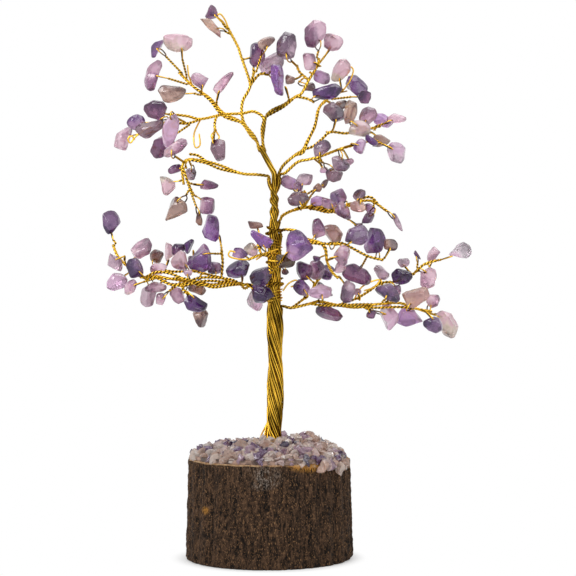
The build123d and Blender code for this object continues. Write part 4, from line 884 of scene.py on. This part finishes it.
class GEMTREE_OT_log(bpy.types.Operator):
    """Make the bark with its furrows and finish the sawn wood"""

    bl_idname = "gem_tree.log"
    bl_label = "Log slice"

    COLUMNS = 560
    ROWS = 84
    WALL = 2.2 * MM
    # How deep the top edge is worn and over which height, and the share of the relief that lies inside the solid
    EDGE = 0.45 * MM
    WORN_HEIGHT = 0.8 * MM
    SUNK = 0.7
    # Rays that find the solid's face: where they start, and how far they stay from its ends
    RAY_START = 0.1
    RAY_INSET = 0.02 * MM
    # Places on the front as (across, up, half width, half height): a spot of resin, the torn edge and the scuffs
    RESIN = (-21.8, 19.5, 1.6, 1.6)
    TORN = (14.5, 35.6, 8.0, 2.8)
    SCUFF = (-2.2, 32.0, 8.5, 5.0)
    # Values of the inner wall's points at the top and at the foot: relief, cut, resin and scuff
    TOP_VALUES = (0.5, 1.0, 0.0, 0.0)
    FOOT_VALUES = (0.5, 0.4, 0.0, 0.0)
    RIDGE_RADIUS = 29.0

    def execute(self, context):
        settings = context.scene.gem_tree
        low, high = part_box("log_bark")
        top = high.z - self.RAY_INSET
        solid = self.solid()
        angles = [2 * math.pi * column / self.COLUMNS for column in range(self.COLUMNS)]
        grid, rows = [], []
        for row in range(self.ROWS + 1):
            z = low.z + (high.z - low.z) * row / self.ROWS
            level = min(top, max(low.z + self.RAY_INSET, z))
            worn = max(0.0, 1 - (high.z - z) / self.WORN_HEIGHT)
            for angle in angles:
                out = heading(angle)
                ridge = self.ridge(out, z)
                radius = self.radius(solid, out, level)
                radius += settings.sizes.bark_relief * (ridge - self.SUNK) - self.EDGE * worn * worn
                spot = (out.x * radius, out.y * radius, z)
                cut = clamp(1.2 - (high.z - z) / self.rim(angle))
                resin = max(self.patch(spot, self.RESIN), 1.3 * self.patch(spot, self.TORN))
                grid.append(spot)
                rows.append((ridge, cut, resin, self.patch(spot, self.SCUFF)))
        for z, values in ((high.z, self.TOP_VALUES), (low.z, self.FOOT_VALUES)):
            for angle in angles:
                out = heading(angle)
                radius = self.radius(solid, out, top) - self.WALL
                grid.append((out.x * radius, out.y * radius, z))
                rows.append(values)
        mesh = bpy.data.meshes.new("bark")
        mesh.from_pydata(grid, [], self.faces())
        tell(mesh, dict(zip(("relief", "cut", "resin", "scuff"), zip(*rows))))
        mesh.polygons.foreach_set("use_smooth", [True] * len(mesh.polygons))
        mesh.materials.append(bark_finish(settings.colours))
        settle(new_piece("bark", mesh), "stand", "bark", "log_bark")
        refinish("log_wood", sawn_wood_finish(settings.colours))
        return {"FINISHED"}

    def faces(self):
        """Faces between the loops of the bark: up the outside, over the top, down the inside and back."""
        loops = [row * self.COLUMNS for row in range(self.ROWS + 3)]
        faces = []
        for a, b in zip(loops, loops[1:] + loops[:1]):
            for column in range(self.COLUMNS):
                after = (column + 1) % self.COLUMNS
                faces.append((a + column, a + after, b + after, b + column))
        return faces

    @staticmethod
    def solid():
        """The bark's solid for rays."""
        mesh = frame["nodes"]["log_bark"].data
        mesh.calc_loop_triangles()
        corners = [tuple(triangle.vertices) for triangle in mesh.loop_triangles]
        return BVHTree.FromPolygons([vert.co for vert in mesh.vertices], corners)

    def radius(self, solid, out, z):
        """Radius of the bark's solid in a direction at a height."""
        hit = solid.ray_cast(out * self.RAY_START + Vector((0, 0, z)), -out)[0]
        if hit is None:
            raise RuntimeError("the bark has a gap")
        return math.hypot(hit.x, hit.y)

    @staticmethod
    def patch(spot, place):
        """Share of a patch on the front of the bark, from 1 in its middle to 0 past its edge."""
        across, up, width, height = place
        away = math.hypot((spot[0] / MM - across) / width, (spot[2] / MM - up) / height)
        return max(0.0, 1 - away * away) if spot[1] < 0 else 0.0

    @staticmethod
    def rim(angle):
        """Width of the pale worn edge at an angle, widest at the front right."""
        torn = max(0.0, math.cos(angle + 1.02)) ** 40
        return (0.55 + 1.5 * torn + 0.35 * noise.noise(heading(angle) * 9)) * MM

    def ridge(self, out, z):
        """Height of the bark's fine ridges, from 0 in a furrow to 1 on a ridge."""
        x, y, _ = out * self.RIDGE_RADIUS
        up = z / MM
        sway = noise.noise(Vector((x * 0.15, y * 0.15, up * 0.09))) * 1.4
        wide = noise.noise(Vector((x * 0.55 + sway, y * 0.55 + sway, up * 0.09)))
        fine = noise.noise(Vector((x * 1.4 + sway, y * 1.4, up * 0.24 + 7)))
        flake = noise.noise(Vector((x * 0.9, y * 0.9, up * 0.8 + 3)))
        ridged = 1 - abs(wide) * 1.8
        return clamp(0.4 * ridged + 0.4 * fine + 0.3 * flake + 0.25)


class GEMTREE_OT_mound(bpy.types.Operator):
    """Scatter the gravel over its glue bed"""

    bl_idname = "gem_tree.mound"
    bl_label = "Gravel mound"

    SEED = 11
    SECTORS = 96
    # The mound's rings: radius and height over the log
    RINGS = ((2.4, 6.0), (8.0, 5.2), (14.0, 4.4), (20.0, 3.2), (24.5, 1.9), (27.2, 0.5))
    # Lumps to the metre and their height
    LUMPS = 110.0
    LUMP_HEIGHT = 3.0 * MM
    # Heaps on the mound: across, towards the back, radius and height
    HEAPS = ((14.0, 1.0, 7.0, 2.4), (5.0, -7.0, 4.0, 1.6), (-21.0, 1.0, 5.0, 1.5), (-8.0, -6.0, 4.0, 0.8))
    # Bits that hang over the rim: angles in degrees, heights on the bark
    SPILL = (-52.0, -24.0, 32.8, 36.8)
    SPILL_STEPS = 8
    # How far inside the bark's widest radius the strip's upper and lower edges lie
    SPILL_INSETS = (1.6 * MM, 0.7 * MM)

    def execute(self, context):
        sizes = context.scene.gem_tree.sizes
        low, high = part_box("glue_bed")
        radius = (high.x - low.x) / 2
        foot = trunk_axis(TRUNK_AXIS[0][1])
        grid = []
        for out, up in self.RINGS:
            share = 1 - out * MM / radius
            for sector in range(self.SECTORS):
                angle = 2 * math.pi * sector / self.SECTORS
                spot = Vector((foot.x * share, 0, low.z)) + heading(angle) * out * MM
                lump = noise.noise(spot * self.LUMPS) * self.LUMP_HEIGHT * share + self.heap(spot)
                grid.append((spot.x, spot.y, spot.z + up * MM + lump))
        faces = []
        for ring in range(len(self.RINGS) - 1):
            a, b = ring * self.SECTORS, (ring + 1) * self.SECTORS
            for sector in range(self.SECTORS):
                after = (sector + 1) % self.SECTORS
                faces.append((a + sector, b + sector, b + after, a + after))
        faces += self.spill(grid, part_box("log_bark")[1].x)
        bed = bpy.data.meshes.new("gravel_bed")
        bed.from_pydata(grid, [], faces)
        gravel = grown("gravel", bed, gravel_tree(), {
            "Pitch": sizes.gravel_pitch, "Size": sizes.gravel_size, "Seed": self.SEED, "Material": gravel_finish()})
        settle(gravel, "stand", "gravel_white", "gravel_white", "gravel_beige", "gravel_violet")
        refinish("glue_bed", glue_finish())
        return {"FINISHED"}

    def heap(self, spot):
        """Height that the heaps add at a spot."""
        total = 0.0
        for across, back, radius, height in self.HEAPS:
            away = math.hypot(spot.x / MM - across, spot.y / MM - back) / radius
            total += height * math.exp(-away * away)
        return total * MM

    def spill(self, grid, radius):
        """A strip over the rim that takes a few more bits: its points go on the grid, its faces come back."""
        first, last, low, high = self.SPILL
        start = len(grid)
        for step in range(self.SPILL_STEPS + 1):
            share = step / self.SPILL_STEPS
            angle = math.radians(first + (last - first) * share)
            drop = (high - low) * math.sin(math.pi * (0.15 + 0.7 * share))
            for z, inset in zip((high, high - drop), self.SPILL_INSETS):
                out = radius - inset
                grid.append((out * math.cos(angle), out * math.sin(angle), z * MM))
        corners = range(start, start + 2 * self.SPILL_STEPS, 2)
        return [(a, a + 1, a + 3, a + 2) for a in corners]


class GEMTREE_OT_trunk(bpy.types.Operator):
    """Lay the trunk's strands of fine wires and wind its bindings"""

    bl_idname = "gem_tree.trunk"
    bl_label = "Trunk"

    STEP = 0.9 * MM
    BINDING_STEP = 0.3 * MM
    THICKNESS = 1.2
    SEED = 3
    # Loose wires over the strands, and the limits of each one's start, end, lift, share of the flare and drift
    STRAYS = 14
    STRAY_START = (36, 50)
    STRAY_END = (66, 112)
    STRAY_LIFT = (0.5, 0.7)
    STRAY_FLARE = (1, 3)
    STRAY_DRIFT = (-0.5, 0.5)
    # Twisted ends wound round the trunk by each binding: height, rise, turns and ring
    TANGLES = {
        "lower_binding": ((97.0, 3.0, 1.4, 2.7), (100.5, -3.0, 1.2, 2.9), (104.0, 4.0, 1.6, 2.6)),
        "upper_binding": ((115.5, 3.5, 1.5, 2.6), (119.5, -3.0, 1.2, 2.5)),
    }
    # Wires, ring and lay of such an end, and how far and how fast it wanders in and out
    TANGLE_ROPE = (2, 0.24 * MM, -2.6 * MM)
    TANGLE_WANDER = (0.35, 1.7)
    # How far a binding's turns wander up and down, and how far and how fast they wander in and out
    BINDING_SLANT = 0.5
    BINDING_WANDER = (0.2, 2.3)

    def execute(self, context):
        sizes = context.scene.gem_tree.sizes
        bundle = (sizes.strand_wires, sizes.strand_ring, -sizes.strand_lay)
        dice = random.Random(self.SEED)
        core, outer = [], []
        for index in range(CORE_STRANDS):
            line = strand_line(360 * index / CORE_STRANDS, CORE_RING, 0, TRUNK_FOOT_UP, TRUNK_AXIS[-1][1], NO_EXIT)
            core.append((line, *bundle))
        for index, exit_up in enumerate(OUTER_STRAND_EXITS.values()):
            line = strand_line(strand_angle(index), OUTER_RING, FOOT_FLARE, TRUNK_FOOT_UP, exit_up, exit_up)
            outer.append((line, *bundle))
        outer += self.strays(dice)
        for name, paths in (("core", core), ("outer", outer)):
            piece = wire_piece(context, f"trunk_{name}_wires", paths, self.STEP, thickness=self.THICKNESS)
            settle(piece, "stand", "gold_wire", f"trunk_{name}_strands")
        for node, (start_up, turns) in BINDINGS.items():
            wound = [self.winding(start_up, turns)] + self.tangles(dice, node)
            piece = wire_piece(context, f"{node}_wire", wound, self.BINDING_STEP)
            settle(piece, "stand", "gold_wire", node)
        return {"FINISHED"}

    def strays(self, dice):
        """Single wires that lie loosely over the strands."""
        paths = []
        for _ in range(self.STRAYS):
            angle, bottom, top = dice.uniform(0, 360), dice.uniform(*self.STRAY_START), dice.uniform(*self.STRAY_END)
            ring = OUTER_RING + dice.uniform(*self.STRAY_LIFT)
            line = strand_line(angle, ring, FOOT_FLARE * dice.uniform(*self.STRAY_FLARE), bottom, top, NO_EXIT)
            drift = dice.uniform(*self.STRAY_DRIFT)
            turned = []
            for index, point in enumerate(line):
                axis = trunk_axis(point.z / MM)
                turned.append(axis + Quaternion((0, 0, 1), drift * index / len(line)) @ (point - axis))
            paths.append((turned, *SINGLE_WIRE))
        return paths

    def tangles(self, dice, node):
        """Twisted ends wound round the roots of the boughs near a binding."""
        reach, pace = self.TANGLE_WANDER
        paths = []
        for up, rise, turns, ring in self.TANGLES[node]:
            start = dice.uniform(0, 2 * math.pi)
            steps = round(turns * BINDING_STEPS)
            line = []
            for index in range(steps + 1):
                turn = start + 2 * math.pi * index / BINDING_STEPS
                out = (ring + reach * math.sin(pace * turn + up)) * MM
                line.append(trunk_axis(up + rise * index / steps) + heading(turn) * out)
            paths.append((line, *self.TANGLE_ROPE))
        return paths

    def winding(self, start_up, turns):
        """A wire wound round the trunk."""
        reach, pace = self.BINDING_WANDER
        points = []
        for index in range(turns * BINDING_STEPS + 1):
            turn = 2 * math.pi * index / BINDING_STEPS
            up = start_up + BINDING_PITCH * index / BINDING_STEPS
            up += self.BINDING_SLANT * math.sin(turn + 0.15 * start_up)
            out = (BINDING_RING + reach * math.sin(pace * turn)) * MM
            points.append(trunk_axis(up) + heading(turn) * out)
        return (points, *SINGLE_WIRE)


class GEMTREE_OT_boughs(bpy.types.Operator):
    """Twist the wires of the boughs and their sprays"""

    bl_idname = "gem_tree.boughs"
    bl_label = "Boughs"

    STEP = 0.45 * MM
    THICKNESS = 1.25
    # Ring of a bough's wires at its tip and at its root, as shares of the full one
    TIP_SHARE = 0.62
    ROOT_SHARE = 0.75
    # How a rope beside the main one sways: share of its height, pace and start
    SWAY = (1.3, 0.95, 2.1)

    def execute(self, context):
        sizes = context.scene.gem_tree.sizes
        spray = (sizes.spray_wires, sizes.spray_ring, -sizes.spray_lay)
        for bough in ROUTES:
            lines = bough_lines(bough)
            tail = bough_tail(bough)
            main = tail + lines[0]
            rings = [sizes.bough_ring * (1 - (1 - self.TIP_SHARE) * index / (len(main) - 1))
                     for index in range(len(main))]
            tight = len(tail) + 1
            rings[:tight] = [sizes.bough_ring * self.ROOT_SHARE] * tight
            paths = [(main, sizes.bough_wires, rings, -sizes.bough_lay)]
            paths += [(line, *spray) for line in lines[1:]]
            for first, last, up, front in COMPANIONS.get(bough, []):
                paths.append((self.beside(lines[0][first:last + 1], up, front), *spray))
            for loose in LOOSE_ENDS.get(bough, []):
                paths.append(([at(*row) for row in loose], *SINGLE_WIRE))
            piece = wire_piece(context, f"{bough}_wires", paths, self.STEP, thickness=self.THICKNESS)
            settle(piece, bough, "gold_wire", f"{bough}_bough")
        return {"FINISHED"}

    def beside(self, line, up, front):
        """A line that leaves another one, runs beside it and comes back to it."""
        height, pace, start = self.SWAY
        moved = []
        for index, point in enumerate(line):
            share = math.sin(math.pi * index / (len(line) - 1)) ** 0.5
            sway = math.cos(pace * index + start * up)
            moved.append(point + Vector((0, -front, height * up * sway)) * MM * share)
        return moved


class GEMTREE_OT_stems(bpy.types.Operator):
    """Twist each stone's wire and lead it through the stone's hole"""

    bl_idname = "gem_tree.stems"
    bl_label = "Stone wires"

    STEP = 0.32 * MM
    SIDES = 6
    HALF_GAP = 0.23 * MM
    STEPS_IN_A_TURN = 8
    # How a solid wire is read: the depth of its ends, and where its neck starts and how deep that is
    END_DEPTH = 0.5 * MM
    NECK_START = 0.7 * MM
    NECK_DEPTH = 0.35 * MM
    # The loop through the hole: how far it is drawn in at the sides and at its end, and how far on from the neck to
    # the hole it starts
    LOOP_NARROWING = 0.1 * MM
    LOOP_SHORTENING = 0.2 * MM
    LOOP_START = 0.4
    # How far the legs run along the bough, where it has this much room for them, and the steps of their bend
    RUN_BACK = 2.2 * MM
    LEAST_ROOM = 0.5 * MM
    BEND = (0.0, 0.25, 0.5, 0.75)

    def execute(self, context):
        lay = context.scene.gem_tree.sizes.stem_lay
        for bough in ROUTES:
            lines = bough_lines(bough)
            middles = [points.mean(axis=0) for points in islands(f"{bough}_stones")]
            paths = []
            for points in islands(f"{bough}_stems"):
                line, facing = self.wire(points, middles, lines, lay)
                paths.append((line, *SINGLE_WIRE, facing))
            piece = wire_piece(context, f"{bough}_stone_wires", paths, self.STEP, self.SIDES)
            settle(piece, bough, "gold_wire", f"{bough}_stems")
        return {"FINISHED"}

    def wire(self, points, middles, lines, lay):
        """Line of a stone's wire and the ways it faces: up one leg, through the hole and down the other leg."""
        seat, ring, end = self.read(points, middles)
        neck, side, _ = self.spread(ring)
        hole, drilled, half_width = self.spread(end)
        if side.dot(drilled) < 0:
            side.negate()
        legs, ways = self.legs(self.middle_line(seat, neck, lines, lay), side, lay)
        hole += (neck - hole).normalized() * self.LOOP_SHORTENING
        edge = neck.lerp(hole, self.LOOP_START)
        level = drilled * (half_width - self.LOOP_NARROWING)
        loop = [edge + level, hole + level, hole - level, edge - level]
        # The ways it faces set its painted shade: the sides of the legs that face each other and the inner sides of
        # the loop are painted dark
        facing = ways + [drilled, drilled, -drilled, -drilled] + [-way for way in reversed(ways)]
        return legs[0] + loop + legs[1][::-1], facing

    def read(self, points, middles):
        """Seat of a solid wire on its bough, the points of its neck and those of its end in the stone."""
        centre = min(middles, key=lambda middle: np.linalg.norm(points - middle, axis=1).min())
        away = np.linalg.norm(points - centre, axis=1)
        seat = points[away > away.max() - self.END_DEPTH].mean(axis=0)
        reach = np.linalg.norm(points - seat, axis=1)
        beyond = reach > self.NECK_START
        ring = points[beyond & (reach < reach[beyond].min() + self.NECK_DEPTH)]
        return Vector(seat), ring, points[reach > reach.max() - self.END_DEPTH]

    @staticmethod
    def spread(points):
        """Middle of some points, the way in which they spread most, and how far they reach along it."""
        middle = points.mean(axis=0)
        way = np.linalg.svd(points - middle)[2][0]
        return Vector(middle), Vector(way), float(np.abs((points - middle) @ way).max())

    def middle_line(self, seat, neck, lines, lay):
        """Line between a wire's two legs: along the bough, round the bend and straight up to the neck."""
        fork, before = nearest_on(lines, seat)
        back = before - fork
        start = fork + back.normalized() * self.RUN_BACK if back.length > self.LEAST_ROOM else fork
        bend = [start.lerp(fork, share).lerp(fork.lerp(seat, share), share) for share in self.BEND]
        steps = max(2, round((neck - seat).length / (lay / self.STEPS_IN_A_TURN)))
        return bend + [seat.lerp(neck, index / steps) for index in range(steps + 1)]

    def legs(self, middle_line, side, lay):
        """The two twisted legs along a line, which end on either side of the neck, and the ways they face."""
        to_go = sum((b - a).length for a, b in zip(middle_line, middle_line[1:]))
        legs, ways = ([], []), []
        for index, point in enumerate(middle_line):
            after = middle_line[min(index + 1, len(middle_line) - 1)]
            ahead = (after - middle_line[max(index - 1, 0)]).normalized()
            flat = (side - ahead * side.dot(ahead)).normalized()
            way = Quaternion(ahead, 2 * math.pi * to_go / lay) @ flat
            ways.append(way)
            legs[0].append(point + way * self.HALF_GAP)
            legs[1].append(point - way * self.HALF_GAP)
            to_go -= (after - point).length
        return legs, ways


class GEMTREE_OT_stones(bpy.types.Operator):
    """Break, tumble and tint the chips"""

    bl_idname = "gem_tree.stones"
    bl_label = "Chips"

    SEED = 5
    # Facets cut off each chip, the least cut as a share of the deepest, and that as a share of the chip's size
    EXTRA_FACETS = 5
    LEAST_CUT = 0.25
    DEEPEST_CUT = 0.36
    # Dents to the metre, how much closer the finer ones lie, how deep those are beside them, and the size from
    # which a chip has full dents
    DENT_SCALE = 170.0
    FINE_DENTS = 2.7
    FINE_DENT_SHARE = 0.3
    DENTED_SIZE = 6.0 * MM
    # What the smoothing takes off is given back by this growth
    GROWTH = 1.09
    LONGEST_EDGE = 0.85 * MM
    SAME_POINT = 0.1 * MM
    # Angles under which faces count as one, before the edges are rounded and after
    ONE_FACET = math.radians(4)
    ONE_PLANE = math.radians(1)
    # How much lighter or darker than its tone a chip may be
    LIGHT = (0.86, 1.14)

    def execute(self, context):
        dice = random.Random(self.SEED)
        finish = amethyst_finish()
        for bough in ROUTES:
            whole = bmesh.new()
            layers = whole.verts.layers
            body_layer, cloud_layer = (layers.float_color.new(name) for name in ("body_tone", "cloud_tone"))
            zone_layer = layers.float.new("zone")
            for points, tone in self.solids(bough):
                chip = self.chip(points, context.scene.gem_tree.sizes, dice)
                body, cloud = (screen(*colour) for colour in TONES[tone])
                light = dice.uniform(*self.LIGHT)
                body = (*(min(1.0, value * light) for value in body[:3]), 1.0)
                middle = Vector(points.mean(axis=0))
                reach = (points.max(axis=0) - points.min(axis=0)).max() / 2
                grade = Vector((dice.gauss(0, 1), dice.gauss(0, 0.4), dice.gauss(0, 1))).normalized()
                spots = [whole.verts.new(vert.co) for vert in chip.verts]
                for spot in spots:
                    spot[body_layer] = body
                    spot[cloud_layer] = cloud
                    spot[zone_layer] = 0.5 + 0.5 * grade.dot(spot.co - middle) / reach
                for face in chip.faces:
                    corners = [spots[vert.index] for vert in face.verts]
                    if not whole.faces.get(corners):
                        whole.faces.new(corners).smooth = True
                chip.free()
            mesh = bpy.data.meshes.new(f"{bough}_chips")
            whole.to_mesh(mesh)
            whole.free()
            mesh.materials.append(finish)
            settle(new_piece(f"{bough}_chips", mesh), bough, "amethyst", f"{bough}_stones")
        return {"FINISHED"}

    @staticmethod
    def solids(bough):
        """Chips of a bough as (points, tone), matched to the table by their place on the front elevation."""
        free = islands(f"{bough}_stones")
        matched = []
        for across, up, tone in STONES[bough]:
            spot = at(across, up, 0)
            middles = [(points.min(axis=0) + points.max(axis=0)) / 2 for points in free]
            gaps = [math.hypot(middle[0] - spot.x, middle[2] - spot.z) for middle in middles]
            matched.append((free.pop(int(np.argmin(gaps))), tone))
        return matched

    def chip(self, points, sizes, dice):
        """One chip: the solid's hull with extra facets, soft edges and dents."""
        chip = self.hull(points)
        middle = Vector(points.mean(axis=0))
        size = (points.max(axis=0) - points.min(axis=0)).min()
        for _ in range(self.EXTRA_FACETS):
            facing = Vector((dice.gauss(0, 1), dice.gauss(0, 1), dice.gauss(0, 1))).normalized()
            reach = max(facing.dot(vert.co - middle) for vert in chip.verts)
            depth = self.DEEPEST_CUT * size * dice.uniform(self.LEAST_CUT, 1.0)
            everything = chip.verts[:] + chip.edges[:] + chip.faces[:]
            bmesh.ops.bisect_plane(chip, geom=everything, plane_co=middle + facing * (reach - depth),
                                   plane_no=facing, clear_outer=True)
            chip = self.closed(chip)
        bmesh.ops.dissolve_limit(chip, angle_limit=self.ONE_FACET, verts=chip.verts, edges=chip.edges)
        bmesh.ops.bevel(chip, geom=chip.edges[:], offset=sizes.chip_round * size, segments=2, profile=0.6,
                        affect="EDGES", clamp_overlap=True)
        chip = self.closed(chip)
        bmesh.ops.dissolve_limit(chip, angle_limit=self.ONE_PLANE, verts=chip.verts, edges=chip.edges)
        bmesh.ops.triangulate(chip, faces=chip.faces)
        self.refine(chip)
        bmesh.ops.smooth_vert(chip, verts=chip.verts, factor=0.5, use_axis_x=True, use_axis_y=True, use_axis_z=True)
        chip.normal_update()
        depth = sizes.chip_dents * min(1.0, size / self.DENTED_SIZE)
        for vert in chip.verts:
            place = vert.co * self.DENT_SCALE
            dent = noise.noise(place) + self.FINE_DENT_SHARE * noise.noise(place * self.FINE_DENTS)
            vert.co = middle + (vert.co - middle) * self.GROWTH + vert.normal * depth * dent
        bmesh.ops.recalc_face_normals(chip, faces=chip.faces)
        chip.verts.index_update()
        return chip

    def refine(self, chip):
        """Split the long edges in the middle, pass by pass: triangles stay triangles."""
        while long_edges := self.long_edges(chip):
            for edge in long_edges:
                middle = bmesh.utils.edge_split(edge, edge.verts[0], 0.5)[1]
                beside = {link.other_vert(middle) for link in middle.link_edges}
                for face in middle.link_faces[:]:
                    far = next(vert for vert in face.verts if vert is not middle and vert not in beside)
                    bmesh.utils.face_split(face, middle, far)

    def long_edges(self, chip):
        """A chip's long edges, the longest first."""
        found = [edge for edge in chip.edges if edge.calc_length() > self.LONGEST_EDGE]
        return sorted(found, key=lambda edge: -edge.calc_length())

    def closed(self, chip):
        """The hull of a chip, in its place."""
        corners = [vert.co.copy() for vert in chip.verts]
        chip.free()
        return self.hull(corners)

    def hull(self, points):
        """The closed hull of points."""
        shape = bmesh.new()
        for point in points:
            shape.verts.new(point)
        bmesh.ops.remove_doubles(shape, verts=shape.verts, dist=self.SAME_POINT)
        made = bmesh.ops.convex_hull(shape, input=shape.verts)
        spare = {item for key in ("geom_interior", "geom_unused") for item in made[key]}
        bmesh.ops.delete(shape, geom=[v for v in spare if isinstance(v, bmesh.types.BMVert)], context="VERTS")
        return shape


class GEMTREE_OT_stage(bpy.types.Operator):
    """Set the floor, the soft lights, the white surround and the camera"""

    bl_idname = "gem_tree.stage"
    bl_label = "Stage"

    FLOOR_SIZE = 6.0
    FLOOR_COLOUR = (0.92, 0.92, 0.92, 1)
    WHITE = (1, 1, 1, 1)
    # Distances from the middle between which the floor's look fades into the surround's
    FADE = (25.5 * MM, 36.0 * MM)
    # Strength of the surround where it lights the tree
    SOFT_LIGHT = 0.35
    # Camera: place as (across, up, front), lens, sensor and nearest distance
    EYE = (7.0, 97.0, 620.0)
    LENS = 107.6
    SENSOR = 36.0
    NEAREST = 0.01
    # Lights: place as (across, up, front) in metres, size and power, and the point that they face
    LIGHTS = {
        "key": ((-0.7, 0.8, 0.75), 0.6, 8.0),
        "fill": ((0.9, 0.45, 0.8), 0.7, 3.0),
        "top": ((0.1, 1.2, -0.2), 0.9, 5.0),
    }
    FACED = (0, 0, 0.1)

    def execute(self, context):
        self.floor()
        self.surround(context.scene)
        for name, (place, size, power) in self.LIGHTS.items():
            self.light(context.scene, name, place, size, power)
        camera = bpy.data.cameras.new("view")
        camera.lens = self.LENS
        camera.sensor_width = self.SENSOR
        camera.clip_start = self.NEAREST
        eye = bpy.data.objects.new("view", camera)
        eye.location = at(*self.EYE)
        eye.rotation_euler = (math.radians(90), 0, 0)
        context.scene.collection.objects.link(eye)
        context.scene.camera = eye
        context.scene.view_settings.view_transform = "Standard"
        return {"FINISHED"}

    def floor(self):
        """A plain pale floor that fades into the white surround."""
        mesh = bpy.data.meshes.new("floor")
        half = self.FLOOR_SIZE / 2
        mesh.from_pydata([(-half, -half, 0), (half, -half, 0), (half, half, 0), (-half, half, 0)], [], [(0, 1, 2, 3)])
        material, sheet = new_material("pale_floor")
        away = sheet.vector("LENGTH", {0: sheet.place()}, "Value")
        matt = sheet.add("ShaderNodeBsdfDiffuse", inputs={"Color": self.FLOOR_COLOUR})
        white = sheet.add("ShaderNodeEmission", inputs={"Color": self.WHITE, "Strength": 1.0})
        share = away.step(*self.FADE) * sheet.seen()
        sheet.end(sheet.add("ShaderNodeMixShader", inputs={0: share, 1: matt, 2: white}))
        mesh.materials.append(material)
        new_piece("floor", mesh)

    def surround(self, scene):
        """White where it is seen, softer where it lights."""
        scene.world = bpy.data.worlds.new("surround")
        scene.world.use_nodes = True
        scene.world.node_tree.nodes.clear()
        sheet = Sheet(scene.world.node_tree)
        soft, white = (sheet.add("ShaderNodeBackground", inputs={"Color": self.WHITE, "Strength": strength})
                       for strength in (self.SOFT_LIGHT, 1.0))
        mixed = sheet.add("ShaderNodeMixShader", inputs={0: sheet.seen(), 1: soft, 2: white})
        sheet.add("ShaderNodeOutputWorld", inputs={"Surface": mixed})

    def light(self, scene, name, place, size, power):
        """A square soft light that faces the tree."""
        data = bpy.data.lights.new(name, "AREA")
        data.size = size
        data.energy = power
        lamp = bpy.data.objects.new(name, data)
        across, up, front = place
        lamp.location = (across, -front, up)
        lamp.rotation_euler = (Vector(self.FACED) - lamp.location).to_track_quat("-Z", "Y").to_euler()
        scene.collection.objects.link(lamp)


OPERATORS = (GEMTREE_OT_stage, GEMTREE_OT_log, GEMTREE_OT_mound, GEMTREE_OT_trunk, GEMTREE_OT_boughs,
             GEMTREE_OT_stems, GEMTREE_OT_stones)


class GEMTREE_PT_sidebar(bpy.types.Panel):
    """Sizes, colours and pieces of the gemstone tree"""

    bl_idname = "GEMTREE_PT_sidebar"
    bl_label = "Gem tree"
    bl_space_type = "VIEW_3D"
    bl_region_type = "UI"
    bl_category = "Gem tree"

    def draw(self, context):
        settings = context.scene.gem_tree
        for group in (settings.sizes, settings.colours):
            column = self.layout.column()
            for name in group.__annotations__:
                column.prop(group, name)
        for operator in OPERATORS:
            self.layout.operator(operator.bl_idname)


CLASSES = (GemTreeSizes, GemTreeColours, GemTreeSettings, *OPERATORS, GEMTREE_PT_sidebar)


def register():
    """Register the add-on's classes."""
    for item in CLASSES:
        bpy.utils.register_class(item)
    bpy.types.Scene.gem_tree = PointerProperty(type=GemTreeSettings)


def unregister():
    """Remove the add-on's classes."""
    del bpy.types.Scene.gem_tree
    for item in reversed(CLASSES):
        bpy.utils.unregister_class(item)


def main():
    """Make every piece."""
    register()
    bpy.ops.gem_tree.stage()
    bpy.ops.gem_tree.log()
    bpy.ops.gem_tree.mound()
    bpy.ops.gem_tree.trunk()
    bpy.ops.gem_tree.boughs()
    bpy.ops.gem_tree.stems()
    bpy.ops.gem_tree.stones()
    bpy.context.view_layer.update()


if __name__ == "__main__":
    main()
